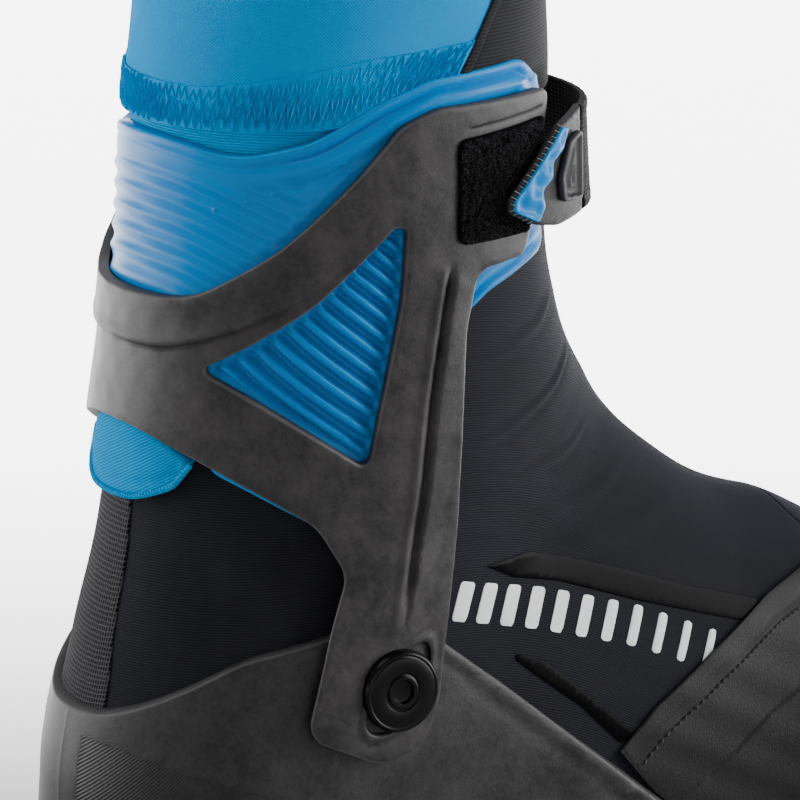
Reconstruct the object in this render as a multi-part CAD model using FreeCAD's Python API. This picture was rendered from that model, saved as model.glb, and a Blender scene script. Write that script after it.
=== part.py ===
import FreeCAD, Part
import math
import os

# Cuffed cross country boot, right foot. Millimetres, +X to the toe, +Y to the inner
# (medial) side, +Z up. The sole stands on z = 0. Every layer of the boot is an offset
# of one form: the outer face of its fabric upper.

V = FreeCAD.Vector
os.makedirs("parts", exist_ok=True)

# ---- driving dimensions -------------------------------------------------------------
SHAFT_TOP = 245.0            # top of the gaiter
ANKLE_Z = 170.0              # level where the shaft ends and the flexing ankle begins
FAN_X = 35.0                 # sections fan out round a line in front of the ankle
TOE_START = 160.0            # station where the toe starts to close
TOE_END = 204.0              # station of the toe tip
TOE_CENTRE_R = 141.0         # the toe closes towards this distance under the fan line
SECTION_POINTS = 36

PIVOT_X, PIVOT_Z = -87.7, 78.0

LINER = (-7.6, -4.6)         # each layer: inner and outer offset from the form
TONGUE = (-4.45, -3.85)
STIFFENER = (-4.2, -1.8)
COVER = (-1.4, 0.0)
SHELL = (0.3, 2.8)
WRAP = (0.3, 1.6)
CUFF = (0.4, 3.2)
PAD = (0.4, 4.3)
FRAME = (3.8, 6.3)
LOOP = (6.6, 7.7)
HOOK = (8.0, 9.0)
STRAP = (9.2, 10.8)
GAITER = (0.3, 2.2)
TRIM = (2.4, 3.4)
ZIP = (-1.3, 0.6)

JOINT_GAP = 0.4              # between neighbours on different bodies
SEAM_GAP = 0.2               # between neighbours on one body

# Stations of the form. Up to 0: level sections, -station above the ankle. 0 to 90:
# degrees of the fan. Above 90: upright sections, station - 90 ahead of the fan line.
# Columns: station, front or top radius, rear or bottom radius, half width,
# place of the widest point, roundness exponents front and rear, sideways shift.
STATIONS = [
    (-80, 67.0, 154.0, 38.5, 0.50, 2.1, 2.1, 0.0),
    (-35, 66.0, 159.0, 39.0, 0.50, 2.1, 2.1, 0.0),
    (0, 64.0, 161.0, 40.0, 0.50, 2.1, 2.1, 0.0),
    (12, 62.5, 169.0, 39.5, 0.50, 2.1, 2.1, 0.0),
    (20, 62.0, 181.0, 39.0, 0.50, 2.1, 2.1, 0.0),
    (26, 61.5, 196.0, 38.5, 0.52, 2.1, 2.1, 0.0),
    (33, 61.0, 217.0, 39.5, 0.58, 2.0, 2.2, 0.0),
    (38, 61.5, 227.0, 40.0, 0.64, 2.0, 2.4, 0.0),
    (42, 62.0, 225.0, 40.0, 0.68, 2.0, 2.8, 0.0),
    (47, 62.5, 208.0, 39.5, 0.70, 2.0, 3.2, 0.0),
    (60, 64.0, 175.5, 38.5, 0.70, 2.0, 4.0, 0.0),
    (75, 67.5, 157.5, 38.5, 0.70, 2.0, 4.0, 0.0),
    (90, 71.5, 152.5, 40.0, 0.70, 2.0, 4.0, 0.0),
    (110, 82.0, 153.5, 44.5, 0.70, 2.0, 4.0, -1.0),
    (135, 94.0, 155.5, 49.0, 0.68, 2.1, 4.0, -1.0),
    (160, 105.0, 156.5, 48.0, 0.66, 2.2, 4.0, 1.0),
    (180, 112.2, 156.4, 44.0, 0.62, 2.3, 3.5, 3.0),
    (193, 116.0, 156.6, 42.0, 0.58, 2.3, 3.0, 4.5),
    (204, 121.0, 156.5, 38.0, 0.55, 2.2, 2.5, 5.5),
]
SECTION_COUNT = 56
LOW_STATION, HIGH_STATION = -75.0, 203.6


# ---- the form -----------------------------------------------------------------------
def station_value(column, station):
    """Monotone cubic through one column of STATIONS."""
    xs = [row[0] for row in STATIONS]
    ys = [row[column] for row in STATIONS]
    steps = [xs[i + 1] - xs[i] for i in range(len(xs) - 1)]
    slopes = [(ys[i + 1] - ys[i]) / steps[i] for i in range(len(steps))]
    tangents = [slopes[0]]
    for i in range(1, len(steps)):
        before, after = slopes[i - 1], slopes[i]
        if before * after <= 0:
            tangents.append(0.0)
            continue
        w1 = 2 * steps[i] + steps[i - 1]
        w2 = steps[i] + 2 * steps[i - 1]
        tangents.append((w1 + w2) / (w1 / before + w2 / after))
    tangents.append(slopes[-1])
    station = min(max(station, xs[0]), xs[-1])
    k = max(i for i in range(len(steps)) if xs[i] <= station)
    t = (station - xs[k]) / steps[k]
    return (
        (2 * t**3 - 3 * t**2 + 1) * ys[k]
        + (t**3 - 2 * t**2 + t) * steps[k] * tangents[k]
        + (3 * t**2 - 2 * t**3) * ys[k + 1]
        + (t**3 - t**2) * steps[k] * tangents[k + 1]
    )


def form_point(station, phi, offset):
    """Point of the offset form. phi in degrees: 0 front or top, 90 medial, 180 rear."""
    near, far, half, middle, top_n, low_n, shift = (
        station_value(c, station) for c in range(1, 8)
    )
    near -= offset
    far += offset
    half += offset
    if station > TOE_START:
        u = min((station - TOE_START) / (TOE_END - TOE_START), 1.0)
        low = (1 - u**3.5) ** 0.5
        near = TOE_CENTRE_R - (TOE_CENTRE_R - near) * low
        far = TOE_CENTRE_R + (far - TOE_CENTRE_R) * low
        half *= (1 - u**2.4) ** (1 / 2.2)
    cosine, sine = math.cos(math.radians(phi)), math.sin(math.radians(phi))
    n = top_n if cosine >= 0 else low_n
    length = far - near
    widest = near + middle * length
    reach = abs(cosine) ** (2 / n)
    radius = widest - middle * length * reach
    if cosine < 0:
        radius = widest + (1 - middle) * length * reach
    y = shift + math.copysign(half * abs(sine) ** (2 / n), sine)
    angle = math.radians(min(max(station, 0), 90))
    ahead = max(station - 90, 0) * (1 + offset / (TOE_END - 90))
    x = FAN_X + ahead - radius * math.cos(angle)
    z = ANKLE_Z + max(-station, 0) - radius * math.sin(angle)
    return V(x, y, z)


def even_stations(count, fine=2000):
    """Stations evenly spaced along the average of the front and the rear line."""
    stations = [
        LOW_STATION + (HIGH_STATION - LOW_STATION) * i / fine for i in range(fine + 1)
    ]
    runs = [0.0]
    for before, after in zip(stations, stations[1:]):
        step = 0.0
        for phi, weight in ((0, 0.35), (180, 0.65)):
            start, end = form_point(before, phi, 0), form_point(after, phi, 0)
            step += weight * start.distanceToPoint(end)
        runs.append(runs[-1] + step)
    chosen = []
    k = 0
    for i in range(count):
        while k < fine and runs[k] < runs[-1] * i / (count - 1):
            k += 1
        chosen.append(stations[k])
    return chosen


ROWS = even_stations(SECTION_COUNT)
FORMS = {}
LAYERS = {}


def form(offset):
    """Closed solid of the form, offset outwards."""
    if offset in FORMS:
        return FORMS[offset]
    turn = 360.0 / SECTION_POINTS
    grid = [
        [form_point(s, turn * (k + 0.5), offset) for k in range(SECTION_POINTS + 1)]
        for s in ROWS
    ]
    surface = Part.BSplineSurface()
    surface.interpolate(grid)
    faces = [surface.toShape()]
    for edge in faces[0].Edges:
        start, end = edge.valueAt(edge.FirstParameter), edge.valueAt(edge.LastParameter)
        if start.distanceToPoint(end) < 1e-6 and edge.Length > 1:
            faces.append(Part.Face(Part.Wire([edge])))
    shell = Part.makeShell(faces)
    shell.sewShape(0.01)
    solid = Part.Solid(shell)
    if solid.Volume < 0:
        solid.reverse()
    FORMS[offset] = solid
    return solid


def layer(span):
    """The form's wall between two offsets."""
    if span not in LAYERS:
        inner, outer = span
        LAYERS[span] = form(outer).cut(form(inner))
    return LAYERS[span]


def strip(first, last, centre_phi, half_width, span, rows=14, columns=4):
    """A band of the surface: from one station to another, centred on a phi line."""
    faces = []
    for offset in span:
        grid = []
        for i in range(rows + 1):
            station = first + (last - first) * i / rows
            ends = []
            for way in (-1, 1):
                phi, run = centre_phi, 0.0
                here = form_point(station, phi, 0)
                while run < half_width:
                    phi += way * 0.25
                    there = form_point(station, phi, 0)
                    run += here.distanceToPoint(there)
                    here = there
                ends.append(phi)
            step = (ends[1] - ends[0]) / columns
            grid.append(
                [form_point(station, ends[0] + step * k, offset) for k in range(columns + 1)]
            )
        surface = Part.BSplineSurface()
        surface.interpolate(grid)
        faces.append(surface.toShape())
    inner, outer = faces
    for edge in inner.Edges:
        middle = edge.valueAt((edge.FirstParameter + edge.LastParameter) / 2)
        partner = min(
            outer.Edges,
            key=lambda e: e.valueAt((e.FirstParameter + e.LastParameter) / 2).distanceToPoint(middle),
        )
        faces.append(Part.makeRuledSurface(edge, partner))
    shell = Part.makeShell(faces)
    shell.sewShape(0.01)
    solid = Part.Solid(shell)
    if solid.Volume < 0:
        solid.reverse()
    return solid


# ---- outlines -----------------------------------------------------------------------
def rounded_path(points, closed):
    """Straight runs joined by tangent arcs. points: (Vector, radius wanted)."""
    count = len(points)
    starts, ends, arcs = {}, {}, {}
    for i, (here, radius) in enumerate(points):
        starts[i] = ends[i] = here
        if radius <= 0 or (not closed and i in (0, count - 1)):
            continue
        before = points[i - 1][0] - here
        after = points[(i + 1) % count][0] - here
        turn = math.pi - before.getAngle(after)
        if turn < 0.01:
            continue
        reach = min(
            radius * math.tan(turn / 2), 0.45 * min(before.Length, after.Length)
        )
        radius = reach / math.tan(turn / 2)
        to_before = V(before).normalize()
        to_after = V(after).normalize()
        bisector = (to_before + to_after).normalize()
        centre_way = radius / math.cos(turn / 2)
        ends[i] = here + to_before * reach
        starts[i] = here + to_after * reach
        middle = here + bisector * (centre_way - radius)
        arcs[i] = Part.Arc(ends[i], middle, starts[i]).toShape()
    edges = []
    for i in range(count if closed else count - 1):
        j = (i + 1) % count
        if i in arcs:
            edges.append(arcs[i])
        edges.append(Part.makeLine(starts[i], ends[j]))
    return Part.Wire(edges)


def side_prism(points, y_from=-80.0, y_to=80.0):
    """Side outline of (x, z) or (x, z, corner radius), extruded across the boot."""
    corners = [(V(p[0], y_from, p[1]), p[2] if len(p) > 2 else 0) for p in points]
    face = Part.Face(rounded_path(corners, True))
    return face.extrude(V(0, y_to - y_from, 0))


def box(low, high):
    return Part.makeBox(high[0] - low[0], high[1] - low[1], high[2] - low[2], V(*low))


def biggest(shape):
    """The largest solid of a shape, without thin leftovers of a cut."""
    return max(shape.Solids, key=lambda s: s.Volume)


def save(name, *shapes):
    solids = [s for shape in shapes for s in shape.Solids]
    whole = solids[0] if len(solids) == 1 else Part.makeCompound(solids)
    if not all(s.isValid() and s.Volume > 0 for s in solids):
        print("CHECK", name, "is not valid")
    whole.exportStep("parts/" + name + ".step")
    b = whole.BoundBox
    print(
        f"{name:24s} {len(solids):3d} solids {whole.Volume / 1000:8.2f} cm3 "
        f"x {b.XMin:7.1f} {b.XMax:7.1f} y {b.YMin:6.1f} {b.YMax:6.1f} "
        f"z {b.ZMin:6.1f} {b.ZMax:6.1f}"
    )


FAR = 170.0                  # beyond every face of the boot

# The line across the ankle, seen from the side: the foot is below it, the fabric that
# flexes with the cuff is above it.
FLEX_LINE = [(-FAR, 74.0), (-105.0, 84.0), (-60.0, 95.0), (-25.0, 112.0), (-5.0, 128.0)]
FLEX_END = (30.0, 156.0)


def foot_zone(gap):
    """Everything below the flex line, less a gap."""
    line = [(x, z - gap) for x, z in FLEX_LINE + [FLEX_END]]
    return side_prism(line + [(FAR, 156.0), (FAR, -5.0), (-FAR, -5.0)])


def ankle_zone(gap):
    line = [(x, z + gap) for x, z in FLEX_LINE + [FLEX_END]]
    top = ANKLE_Z - gap
    return side_prism(line + [(FAN_X - 1.0, top), (-FAR, top)])


def shaft_zone(low=ANKLE_Z + JOINT_GAP):
    return box((-FAR, -80, low), (FAN_X - 1.0, 80, SHAFT_TOP))


# ---- sole ---------------------------------------------------------------------------
SOLE_PLAN = [
    (-147, 0), (-139, -23), (-118, -32), (-60, -29), (-20, -30), (30, -40), (62, -45),
    (95, -42), (122, -29), (141, -13), (149, 4), (142, 22), (122, 34), (95, 41),
    (60, 41), (20, 33), (-20, 28), (-60, 27), (-118, 31), (-139, 23),
]
SOLE_BOTTOM, SOLE_TOP = 4.0, 21.0
HEEL_RUBBER_END = -42.0
FOREFOOT_RUBBER_START = -12.0
GUIDE_Y, GUIDE_WIDTH, GUIDE_DEPTH = 14.0, 6.5, 3.4
INSERT_START, INSERT_HALF, INSERT_TOP = 124.0, 16.0, 12.0
RECESS_START, RECESS_HALF, RECESS_TOP = 132.0, 11.0, 9.0
BAR_X, BAR_Z, BAR_RADIUS, BAR_HALF = 143.0, 5.0, 1.9, 15.0


def sole_prism(low, high):
    curve = Part.BSplineCurve()
    curve.interpolate(Points=[V(x, y, low) for x, y in SOLE_PLAN], PeriodicFlag=True)
    return Part.Face(Part.Wire([curve.toShape()])).extrude(V(0, 0, high - low))


def insert_pocket(gap):
    return box(
        (INSERT_START - gap, -INSERT_HALF - gap, -1), (FAR, INSERT_HALF + gap, INSERT_TOP + gap)
    )


def sole_plate():
    plate = sole_prism(SOLE_BOTTOM, SOLE_TOP).cut(form(SHELL[1] + 0.1))
    return biggest(plate.cut(insert_pocket(0.1)))


def outsole(first, last, pitch, groove):
    """Rubber pads under the plate: two guide grooves along, tread grooves across."""
    rubber = sole_prism(0, SOLE_BOTTOM).common(box((first, -80, 0), (last, 80, SOLE_BOTTOM)))
    rubber = rubber.cut(insert_pocket(0.5))
    cuts = []
    for way in (-1, 1):
        y = way * GUIDE_Y
        half = GUIDE_WIDTH / 2
        cuts.append(box((-FAR, y - half, -1), (FAR, y + half, GUIDE_DEPTH)))
    x = first + pitch
    while x < last - pitch / 2:
        for y_from, y_to in ((-80, -GUIDE_Y - 6), (GUIDE_Y + 6, 80)):
            cuts.append(box((x, y_from, -1), (x + groove, y_to, 2.2)))
        x += pitch
    return rubber.cut(cuts)


def toe_insert():
    block = sole_prism(0.3, INSERT_TOP).common(insert_pocket(0))
    recess = box((RECESS_START, -RECESS_HALF, -1), (FAR, RECESS_HALF, RECESS_TOP))
    return block.cut([recess, toe_bar()])


def toe_bar():
    return Part.makeCylinder(BAR_RADIUS, 2 * BAR_HALF, V(BAR_X, -BAR_HALF, BAR_Z), V(0, 1, 0))


save("sole_plate", sole_plate())
save("outsole_heel", outsole(-150, HEEL_RUBBER_END, 11.0, 2.2))
save("outsole_forefoot", outsole(FOREFOOT_RUBBER_START, INSERT_START - 1.5, 9.0, 2.0))
save("toe_insert", toe_insert())
save("toe_bar", toe_bar())

# ---- shells and wraps round the foot ------------------------------------------------
WING_LINE = [(-73, 85.5, 6), (-58, 74, 20), (-17, 40, 40), (3, 24, 10), (9, 8)]
HEEL_SHELL_OUTLINE = [(-FAR, 72), (-146, 71, 6), (-121, 86, 30), (-92, 93, 14)]
HEEL_SHELL_OUTLINE += WING_LINE + [(-FAR, 8)]
MIDSOLE_TOP = 17.0
TOE_CAP_OUTLINE = [(FAR, 90), (122, 90), (119, 50, 20), (108, 17.2), (FAR, 17.2)]
WRAP_OUTLINE = [
    (-25.5, 52), (-15, 61, 12), (4, 72.5, 30), (20, 81.5, 20), (38, 88, 7), (55, 79.5, 30),
    (80, 67.5, 40), (118.4, 50.5), (107.4, 17.2), (9.5, 17.2), (4, 24.5, 10), (-16.4, 41, 30),
]

POST_RADIUS = 4.5
POST_FLANGE_RADIUS, POST_FLANGE = 8.0, (40.4, 41.4)
POST_END = 45.4
BUSH_RADIUS = 6.0
BUSH_CLEARANCE = 0.05
EAR_INNER = 43.2             # flat inner face of the frame's ears
CAP_RADIUS, CAP_SPAN = 9.45, (45.5, 47.9)
CAP_SINK = (45.2, 9.75)      # depth and radius of the counterbore round the cap
SCREW_RADIUS = 2.5


def across(radius, y_from, y_to, side):
    """Cylinder round the pivot axis, on the lateral (-1) or medial (1) side."""
    return Part.makeCylinder(
        radius, y_to - y_from, V(PIVOT_X, side * y_from, PIVOT_Z), V(0, side, 0)
    )


def heel_shell():
    shell = layer(SHELL).common(side_prism(HEEL_SHELL_OUTLINE))
    for side in (-1, 1):
        shell = shell.cut(across(POST_RADIUS, 30, 60, side))
        shell = shell.cut(across(POST_FLANGE_RADIUS + 0.1, 30, POST_FLANGE[1], side))
    return biggest(shell)


def pivot_post(side):
    post = across(POST_RADIUS, POST_FLANGE[1], POST_END, side)
    post = post.fuse(across(POST_FLANGE_RADIUS, POST_FLANGE[0], POST_FLANGE[1], side))
    return post.cut(across(SCREW_RADIUS, POST_FLANGE[1] + 0.6, POST_END + 1, side))


def pivot_cap(side):
    low, high = CAP_SPAN
    cap = across(CAP_RADIUS, low, high, side)
    rim = [e for e in cap.Edges if abs(e.CenterOfMass.y - side * high) < 0.01]
    cap = cap.makeFillet(0.9, rim)
    cap = cap.cut(across(2.6, high - 1.0, high + 1, side))
    return cap.fuse(across(SCREW_RADIUS, POST_FLANGE[1] + 0.8, low, side))


def pivot_bush(side):
    bush = across(BUSH_RADIUS, EAR_INNER, POST_END - 0.3, side)
    return bush.cut(across(POST_RADIUS + BUSH_CLEARANCE, 30, 60, side))


save("heel_shell", heel_shell())
midsole = layer(SHELL).common(box((9.6, -80, 0), (FAR, 80, MIDSOLE_TOP)))
save("midsole", biggest(midsole.cut(insert_pocket(0.3))))
save("toe_cap", biggest(layer(SHELL).common(side_prism(TOE_CAP_OUTLINE))))
save("forefoot_wrap_lateral", biggest(layer(WRAP).common(side_prism(WRAP_OUTLINE, -80, 0))))
save("forefoot_wrap_medial", biggest(layer(WRAP).common(side_prism(WRAP_OUTLINE, 0, 80))))
for side, side_name in ((-1, "lateral"), (1, "medial")):
    save("pivot_post_" + side_name, pivot_post(side))
    save("pivot_cap_" + side_name, pivot_cap(side))
    save("pivot_bush_" + side_name, pivot_bush(side))

# ---- fabric upper -------------------------------------------------------------------
ZIP_PHI = 24.0
ZIP_HALF = 3.4
ZIP_FOOT = (46.5, 124.0)     # stations of the three stretches of zip chain
ZIP_ANKLE = (0.6, 43.5)
ZIP_SHAFT = (-74.9, -0.6)
MESH_HALF = 7.5              # half width of the mesh strip up the back of the heel
VAMP_LINE = [(36, 170), (36, 96), (58, 60), (64, -5)]


def zip_slit(first, last, depth=(-1.8, 3.8)):
    return strip(first, last, ZIP_PHI, ZIP_HALF + SEAM_GAP, depth)


# The upper is turned in under the foot and open inside this line, where the board lies.
TURN_IN = [
    (-124, -13), (-60, -17), (0, -19), (60, -31), (95, -29), (122, -14),
    (122, 20), (95, 28), (60, 28), (0, 18), (-60, 16), (-124, 13),
]


def upper_foot():
    """Vamp and two quarters, parted by the zip, up the heel and along the sole."""
    foot = layer(COVER).common(foot_zone(0)).cut(zip_slit(40, ZIP_FOOT[1] + 0.5))
    bed = Part.Face(rounded_path([(V(x, y, 5), 12) for x, y in TURN_IN], True))
    foot = foot.cut(bed.extrude(V(0, 0, 19)))
    ahead = side_prism(VAMP_LINE + [(FAR, -5), (FAR, 170)])
    save("upper_vamp", biggest(foot.common(ahead)))
    quarters = foot.cut(ahead)
    quarters = quarters.cut(box((-FAR, -0.1, -5), (-60, 0.1, 100)))
    quarters = quarters.cut(box((-70, -0.1, -5), (FAR, 0.1, 45)))
    halves = sorted(quarters.Solids, key=lambda s: s.Volume)[-2:]
    halves.sort(key=lambda s: s.CenterOfMass.y)
    save("upper_quarter_lateral", halves[0])
    save("upper_quarter_medial", halves[1])


def upper_ankle():
    ankle = layer(COVER).common(ankle_zone(SEAM_GAP))
    mesh_box = box((-FAR, -MESH_HALF, 60), (-95, MESH_HALF, 180))
    save("heel_mesh_strip", biggest(ankle.common(mesh_box)))
    wide_box = box((-FAR, -MESH_HALF - 0.1, 60), (-95, MESH_HALF + 0.1, 180))
    ankle = ankle.cut(wide_box).cut(zip_slit(-3, 52))
    halves = sorted(ankle.Solids, key=lambda s: s.Volume)[-2:]
    halves.sort(key=lambda s: s.CenterOfMass.y)
    save("ankle_panel_lateral", halves[0])
    save("ankle_panel_medial", halves[1])


COLLAR_FRONT_X = -70.0


def upper_shaft():
    shaft = layer(COVER).common(shaft_zone())
    shaft = shaft.cut(zip_slit(-75.5, 2))
    collar = shaft.common(box((-FAR, -80, 100), (COLLAR_FRONT_X, 80, 260)))
    save("ribbed_collar", biggest(collar))
    front = shaft.common(box((COLLAR_FRONT_X + 0.1, -80, 100), (FAR, 80, 260)))
    save("shaft_front", *front.Solids)


upper_foot()
upper_ankle()
upper_shaft()
for name, span in (("foot", ZIP_FOOT), ("ankle", ZIP_ANKLE), ("shaft", ZIP_SHAFT)):
    save("zip_chain_" + name, strip(span[0], span[1], ZIP_PHI, ZIP_HALF, ZIP))

# ---- inside the foot ----------------------------------------------------------------
save("liner_foot", biggest(layer(LINER).common(foot_zone(0.3))))
save("liner_ankle", biggest(layer(LINER).common(ankle_zone(0.3))))
liner_shaft = layer(LINER).common(shaft_zone())
save("liner_shaft_lateral", biggest(liner_shaft.common(box((-FAR, -80, 100), (FAR, -0.1, 260)))))
save("liner_shaft_medial", biggest(liner_shaft.common(box((-FAR, 0.1, 100), (FAR, 80, 260)))))

INSOLE_OUTLINE = [(-FAR, 29.5), (-20, 29.5, 60), (60, 26, 60), (FAR, 28), (FAR, 5), (-FAR, 5)]
save("insole", biggest(form(LINER[0] - 0.2).common(side_prism(INSOLE_OUTLINE))))
BOARD_TOP = 23.0
board = layer(STIFFENER).common(box((-FAR, -80, 0), (138, 80, BOARD_TOP)))
save("lasting_board", biggest(board))
COUNTER_OUTLINE = [
    (-FAR, BOARD_TOP + 0.3), (-70, BOARD_TOP + 0.3, 6), (-84, 50, 20), (-96, 66, 10), (-FAR, 66),
]
save("heel_counter", biggest(layer(STIFFENER).common(side_prism(COUNTER_OUTLINE))))
save("tongue", strip(47, 122, 0.0, 17.0, TONGUE))

LACE_RADIUS = 0.45
LACE_STATIONS = [60, 74, 88, 102, 116]
LACE_PHI = 46.0
LACE_DEEP, LACE_HIGH, LACE_SIDE = -2.95, -1.9, -2.4
CROSSING = (-0.7, -0.45, -0.2, 0, 0.2, 0.45, 0.7)


def lace_route():
    """Down one way, across the toe end and back up, crossing between the loops."""
    points = [form_point(53, -6, LACE_SIDE), form_point(53.5, -14, LACE_SIDE)]
    points += [form_point(54.5, -25, LACE_SIDE), form_point(56, -36, LACE_SIDE)]
    way = -1
    for i, station in enumerate(LACE_STATIONS):
        points.append(form_point(station - 2, way * LACE_PHI, LACE_SIDE))
        points.append(form_point(station + 2, way * LACE_PHI, LACE_SIDE))
        if i < len(LACE_STATIONS) - 1:
            middle = (station + LACE_STATIONS[i + 1]) / 2
            for part in CROSSING:
                at = middle + part * (LACE_STATIONS[i + 1] - station - 4)
                points.append(form_point(at, -way * part * LACE_PHI, LACE_DEEP))
        way = -way
    last = LACE_STATIONS[-1] + 2
    way = -way
    for part in reversed(CROSSING):
        points.append(form_point(last, way * part * LACE_PHI, LACE_SIDE))
    back = list(reversed(LACE_STATIONS))
    way = -way
    for i, station in enumerate(back):
        points.append(form_point(station + 2, way * LACE_PHI, LACE_SIDE))
        points.append(form_point(station - 2, way * LACE_PHI, LACE_SIDE))
        if i < len(back) - 1:
            middle = (station + back[i + 1]) / 2
            for part in CROSSING:
                at = middle - part * (station - back[i + 1] - 4)
                points.append(form_point(at, -way * part * LACE_PHI, LACE_HIGH))
        way = -way
    points += [form_point(56, 36, LACE_SIDE), form_point(54.5, 25, LACE_SIDE)]
    points += [form_point(53.5, 14, LACE_SIDE), form_point(53, 6, LACE_SIDE)]
    return points


def lace():
    route = lace_route()
    path = rounded_path([(p, 2.5) for p in route], False)
    start = route[0]
    way = route[1] - route[0]
    ring = Part.Wire([Part.Circle(start, way, LACE_RADIUS).toShape()])
    return path.makePipeShell([ring], True, True)


def lace_loops():
    """A folded webbing loop at each turn of the lace, sewn to the upper's inner side."""
    loops = []
    for station in LACE_STATIONS:
        for way in (-1, 1):
            loops.append(
                strip(station - 3.2, station + 3.2, way * (LACE_PHI + 9.0), 2.2, (-3.1, -1.7), 3)
            )
    return loops


save("lace", lace())
save("lace_loops", *lace_loops())
save("lace_lock", strip(47.5, 52.4, 0.0, 7.0, (-3.4, -1.6), 4))

# ---- cuff ---------------------------------------------------------------------------
FRAME_OUTLINE = [
    (-FAR, 166), (-128, 166, 12), (-112, 178.5, 30), (-96, 194, 25), (-86, 204.5, 10),
    (-77, 207.8, 10), (-43, 208.3, 2.5), (-51, 178, 4), (-53.5, 172.3, 3), (-67, 171, 5),
    (-70, 158, 14), (-71, 115, 60), (-77, 72, 30), (-82, 63.5, 8), (-92, 61, 12),
    (-110.5, 69.5, 5), (-104, 92, 60), (-99.5, 105, 7), (-106, 116.5, 14), (-131, 133, 30),
    (-138, 138, 12), (-FAR, 138),
]
WINDOW_OUTLINE = [
    (-127, 150.8, 1.5), (-106, 165.5, 60), (-88, 182.8, 1.6), (-85.2, 182, 1.2),
    (-86.5, 166, 60), (-94.3, 128.6, 2.0),
]
CUFF_OUTLINE = [
    (-FAR, 201.5), (-128, 201, 12), (-118, 197.5, 14), (-104, 201.5, 20), (-90, 209.5, 20),
    (-78, 213.8, 20), (-50, 215.5, 8), (-38, 208, 6), (-41, 172, 4), (-62, 165, 12),
    (-73, 158, 10), (-84, 130, 30), (-101, 112.5, 6), (-124, 127, 4), (-127, 139.5, 3),
    (-FAR, 139.5),
]
PAD_OUTLINE = [
    (-FAR, 119.5), (-136, 119.5, 4), (-130.5, 124, 5), (-127.6, 129.3, 1.5), (-138.2, 137.2, 9),
    (-FAR, 137.4),
]
PATCH_OUTLINE = [(-72.5, 200.5, 1.5), (-46, 202.6, 1.5), (-52.5, 177.6, 1.5), (-73, 177.2, 1.5)]
STRAP_LOW, STRAP_HIGH = 179.0, 202.5
STRAP_CORNER_X = -33.0       # the tab starts here, round the lateral front corner
STRAP_MEDIAL_X = -66.0
RIVET_RADIUS, RIVET_Z = 2.6, 190.5


def cuff_frame():
    frame = layer(FRAME).common(side_prism(FRAME_OUTLINE))
    frame = frame.cut(side_prism(WINDOW_OUTLINE))
    flat = box((-FAR, -EAR_INNER, 0), (FAR, EAR_INNER, 100))
    frame = frame.cut(flat)
    for side in (-1, 1):
        depth, radius = CAP_SINK
        frame = frame.cut(across(BUSH_RADIUS, 30, 60, side))
        frame = frame.cut(across(radius, depth, 60, side))
    frame = frame.cut(rivet_shape(60))
    return biggest(frame)


def rivet_shape(length):
    """Cylinder square to the strap where it is riveted on the medial side."""
    at = form_point(ANKLE_Z - RIVET_Z, 66.0, 0)
    out = form_point(ANKLE_Z - RIVET_Z, 66.0, 10) - at
    out.normalize()
    return Part.makeCylinder(RIVET_RADIUS, length, at + out * 3.9, out)


def strap_rivet():
    at = form_point(ANKLE_Z - RIVET_Z, 66.0, 0)
    out = (form_point(ANKLE_Z - RIVET_Z, 66.0, 10) - at).normalize()
    stem = Part.makeCylinder(RIVET_RADIUS, 7.7, at + out * 3.9, out)
    head = Part.makeCylinder(5.0, 1.2, at + out * 11.5, out)
    rim = [e for e in head.Edges if e.CenterOfMass.distanceToPoint(at + out * 12.7) < 0.1]
    return stem.fuse(head.makeFillet(0.5, rim))


def strap_band():
    band = layer(STRAP).common(box((-100, -80, STRAP_LOW), (40, 80, STRAP_HIGH)))
    band = band.common(
        box((STRAP_CORNER_X, -80, 150), (40, 0, 230)).fuse(
            box((STRAP_MEDIAL_X, 0, 150), (40, 80, 230))
        )
    )
    return biggest(band.cut(rivet_shape(60)))


save("cuff_frame", cuff_frame())
save("cuff_inner", biggest(layer(CUFF).common(side_prism(CUFF_OUTLINE))))
save("achilles_pad", biggest(layer(PAD).common(side_prism(PAD_OUTLINE))))
save("loop_patch", biggest(layer(LOOP).common(side_prism(PATCH_OUTLINE, -80, 0))))
save("strap_band", strap_band())
save("strap_rivet", strap_rivet())

# ---- strap tab ----------------------------------------------------------------------
TAB_OUTLINE = [
    (-34.2, 203), (-44, 200.4, 3), (-60.5, 186.5, 2.5), (-61, 183.4, 2), (-52, 179.5, 8),
    (-45, 178.2, 6), (-34.2, 179),
]
GRIP_OUTLINE = [
    (-43.6, 198.6, 1), (-57.8, 186.6, 1.5), (-58.2, 184.2, 1.5), (-53, 182.4, 1), (-47, 187.5, 1),
    (-41.2, 195, 1),
]
HOOK_OUTLINE = [(-38, 200.5, 2), (-44, 198, 2), (-57, 186, 2), (-50, 181.5, 2), (-38, 181, 2)]
BADGE_OUTLINE = [(-35.6, 199.5, 1.5), (-39.4, 198.8, 1.5), (-40.8, 184, 1.5), (-35.6, 184, 1.5)]

save("strap_tab", biggest(layer(STRAP).common(side_prism(TAB_OUTLINE, -80, 0))))
save("tab_grip", biggest(layer((10.9, 11.9)).common(side_prism(GRIP_OUTLINE, -80, 0))))
save("tab_hook_patch", biggest(layer(HOOK).common(side_prism(HOOK_OUTLINE, -80, 0))))
save("tab_badge", biggest(layer((10.9, 11.7)).common(side_prism(BADGE_OUTLINE, -80, 0))))

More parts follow.
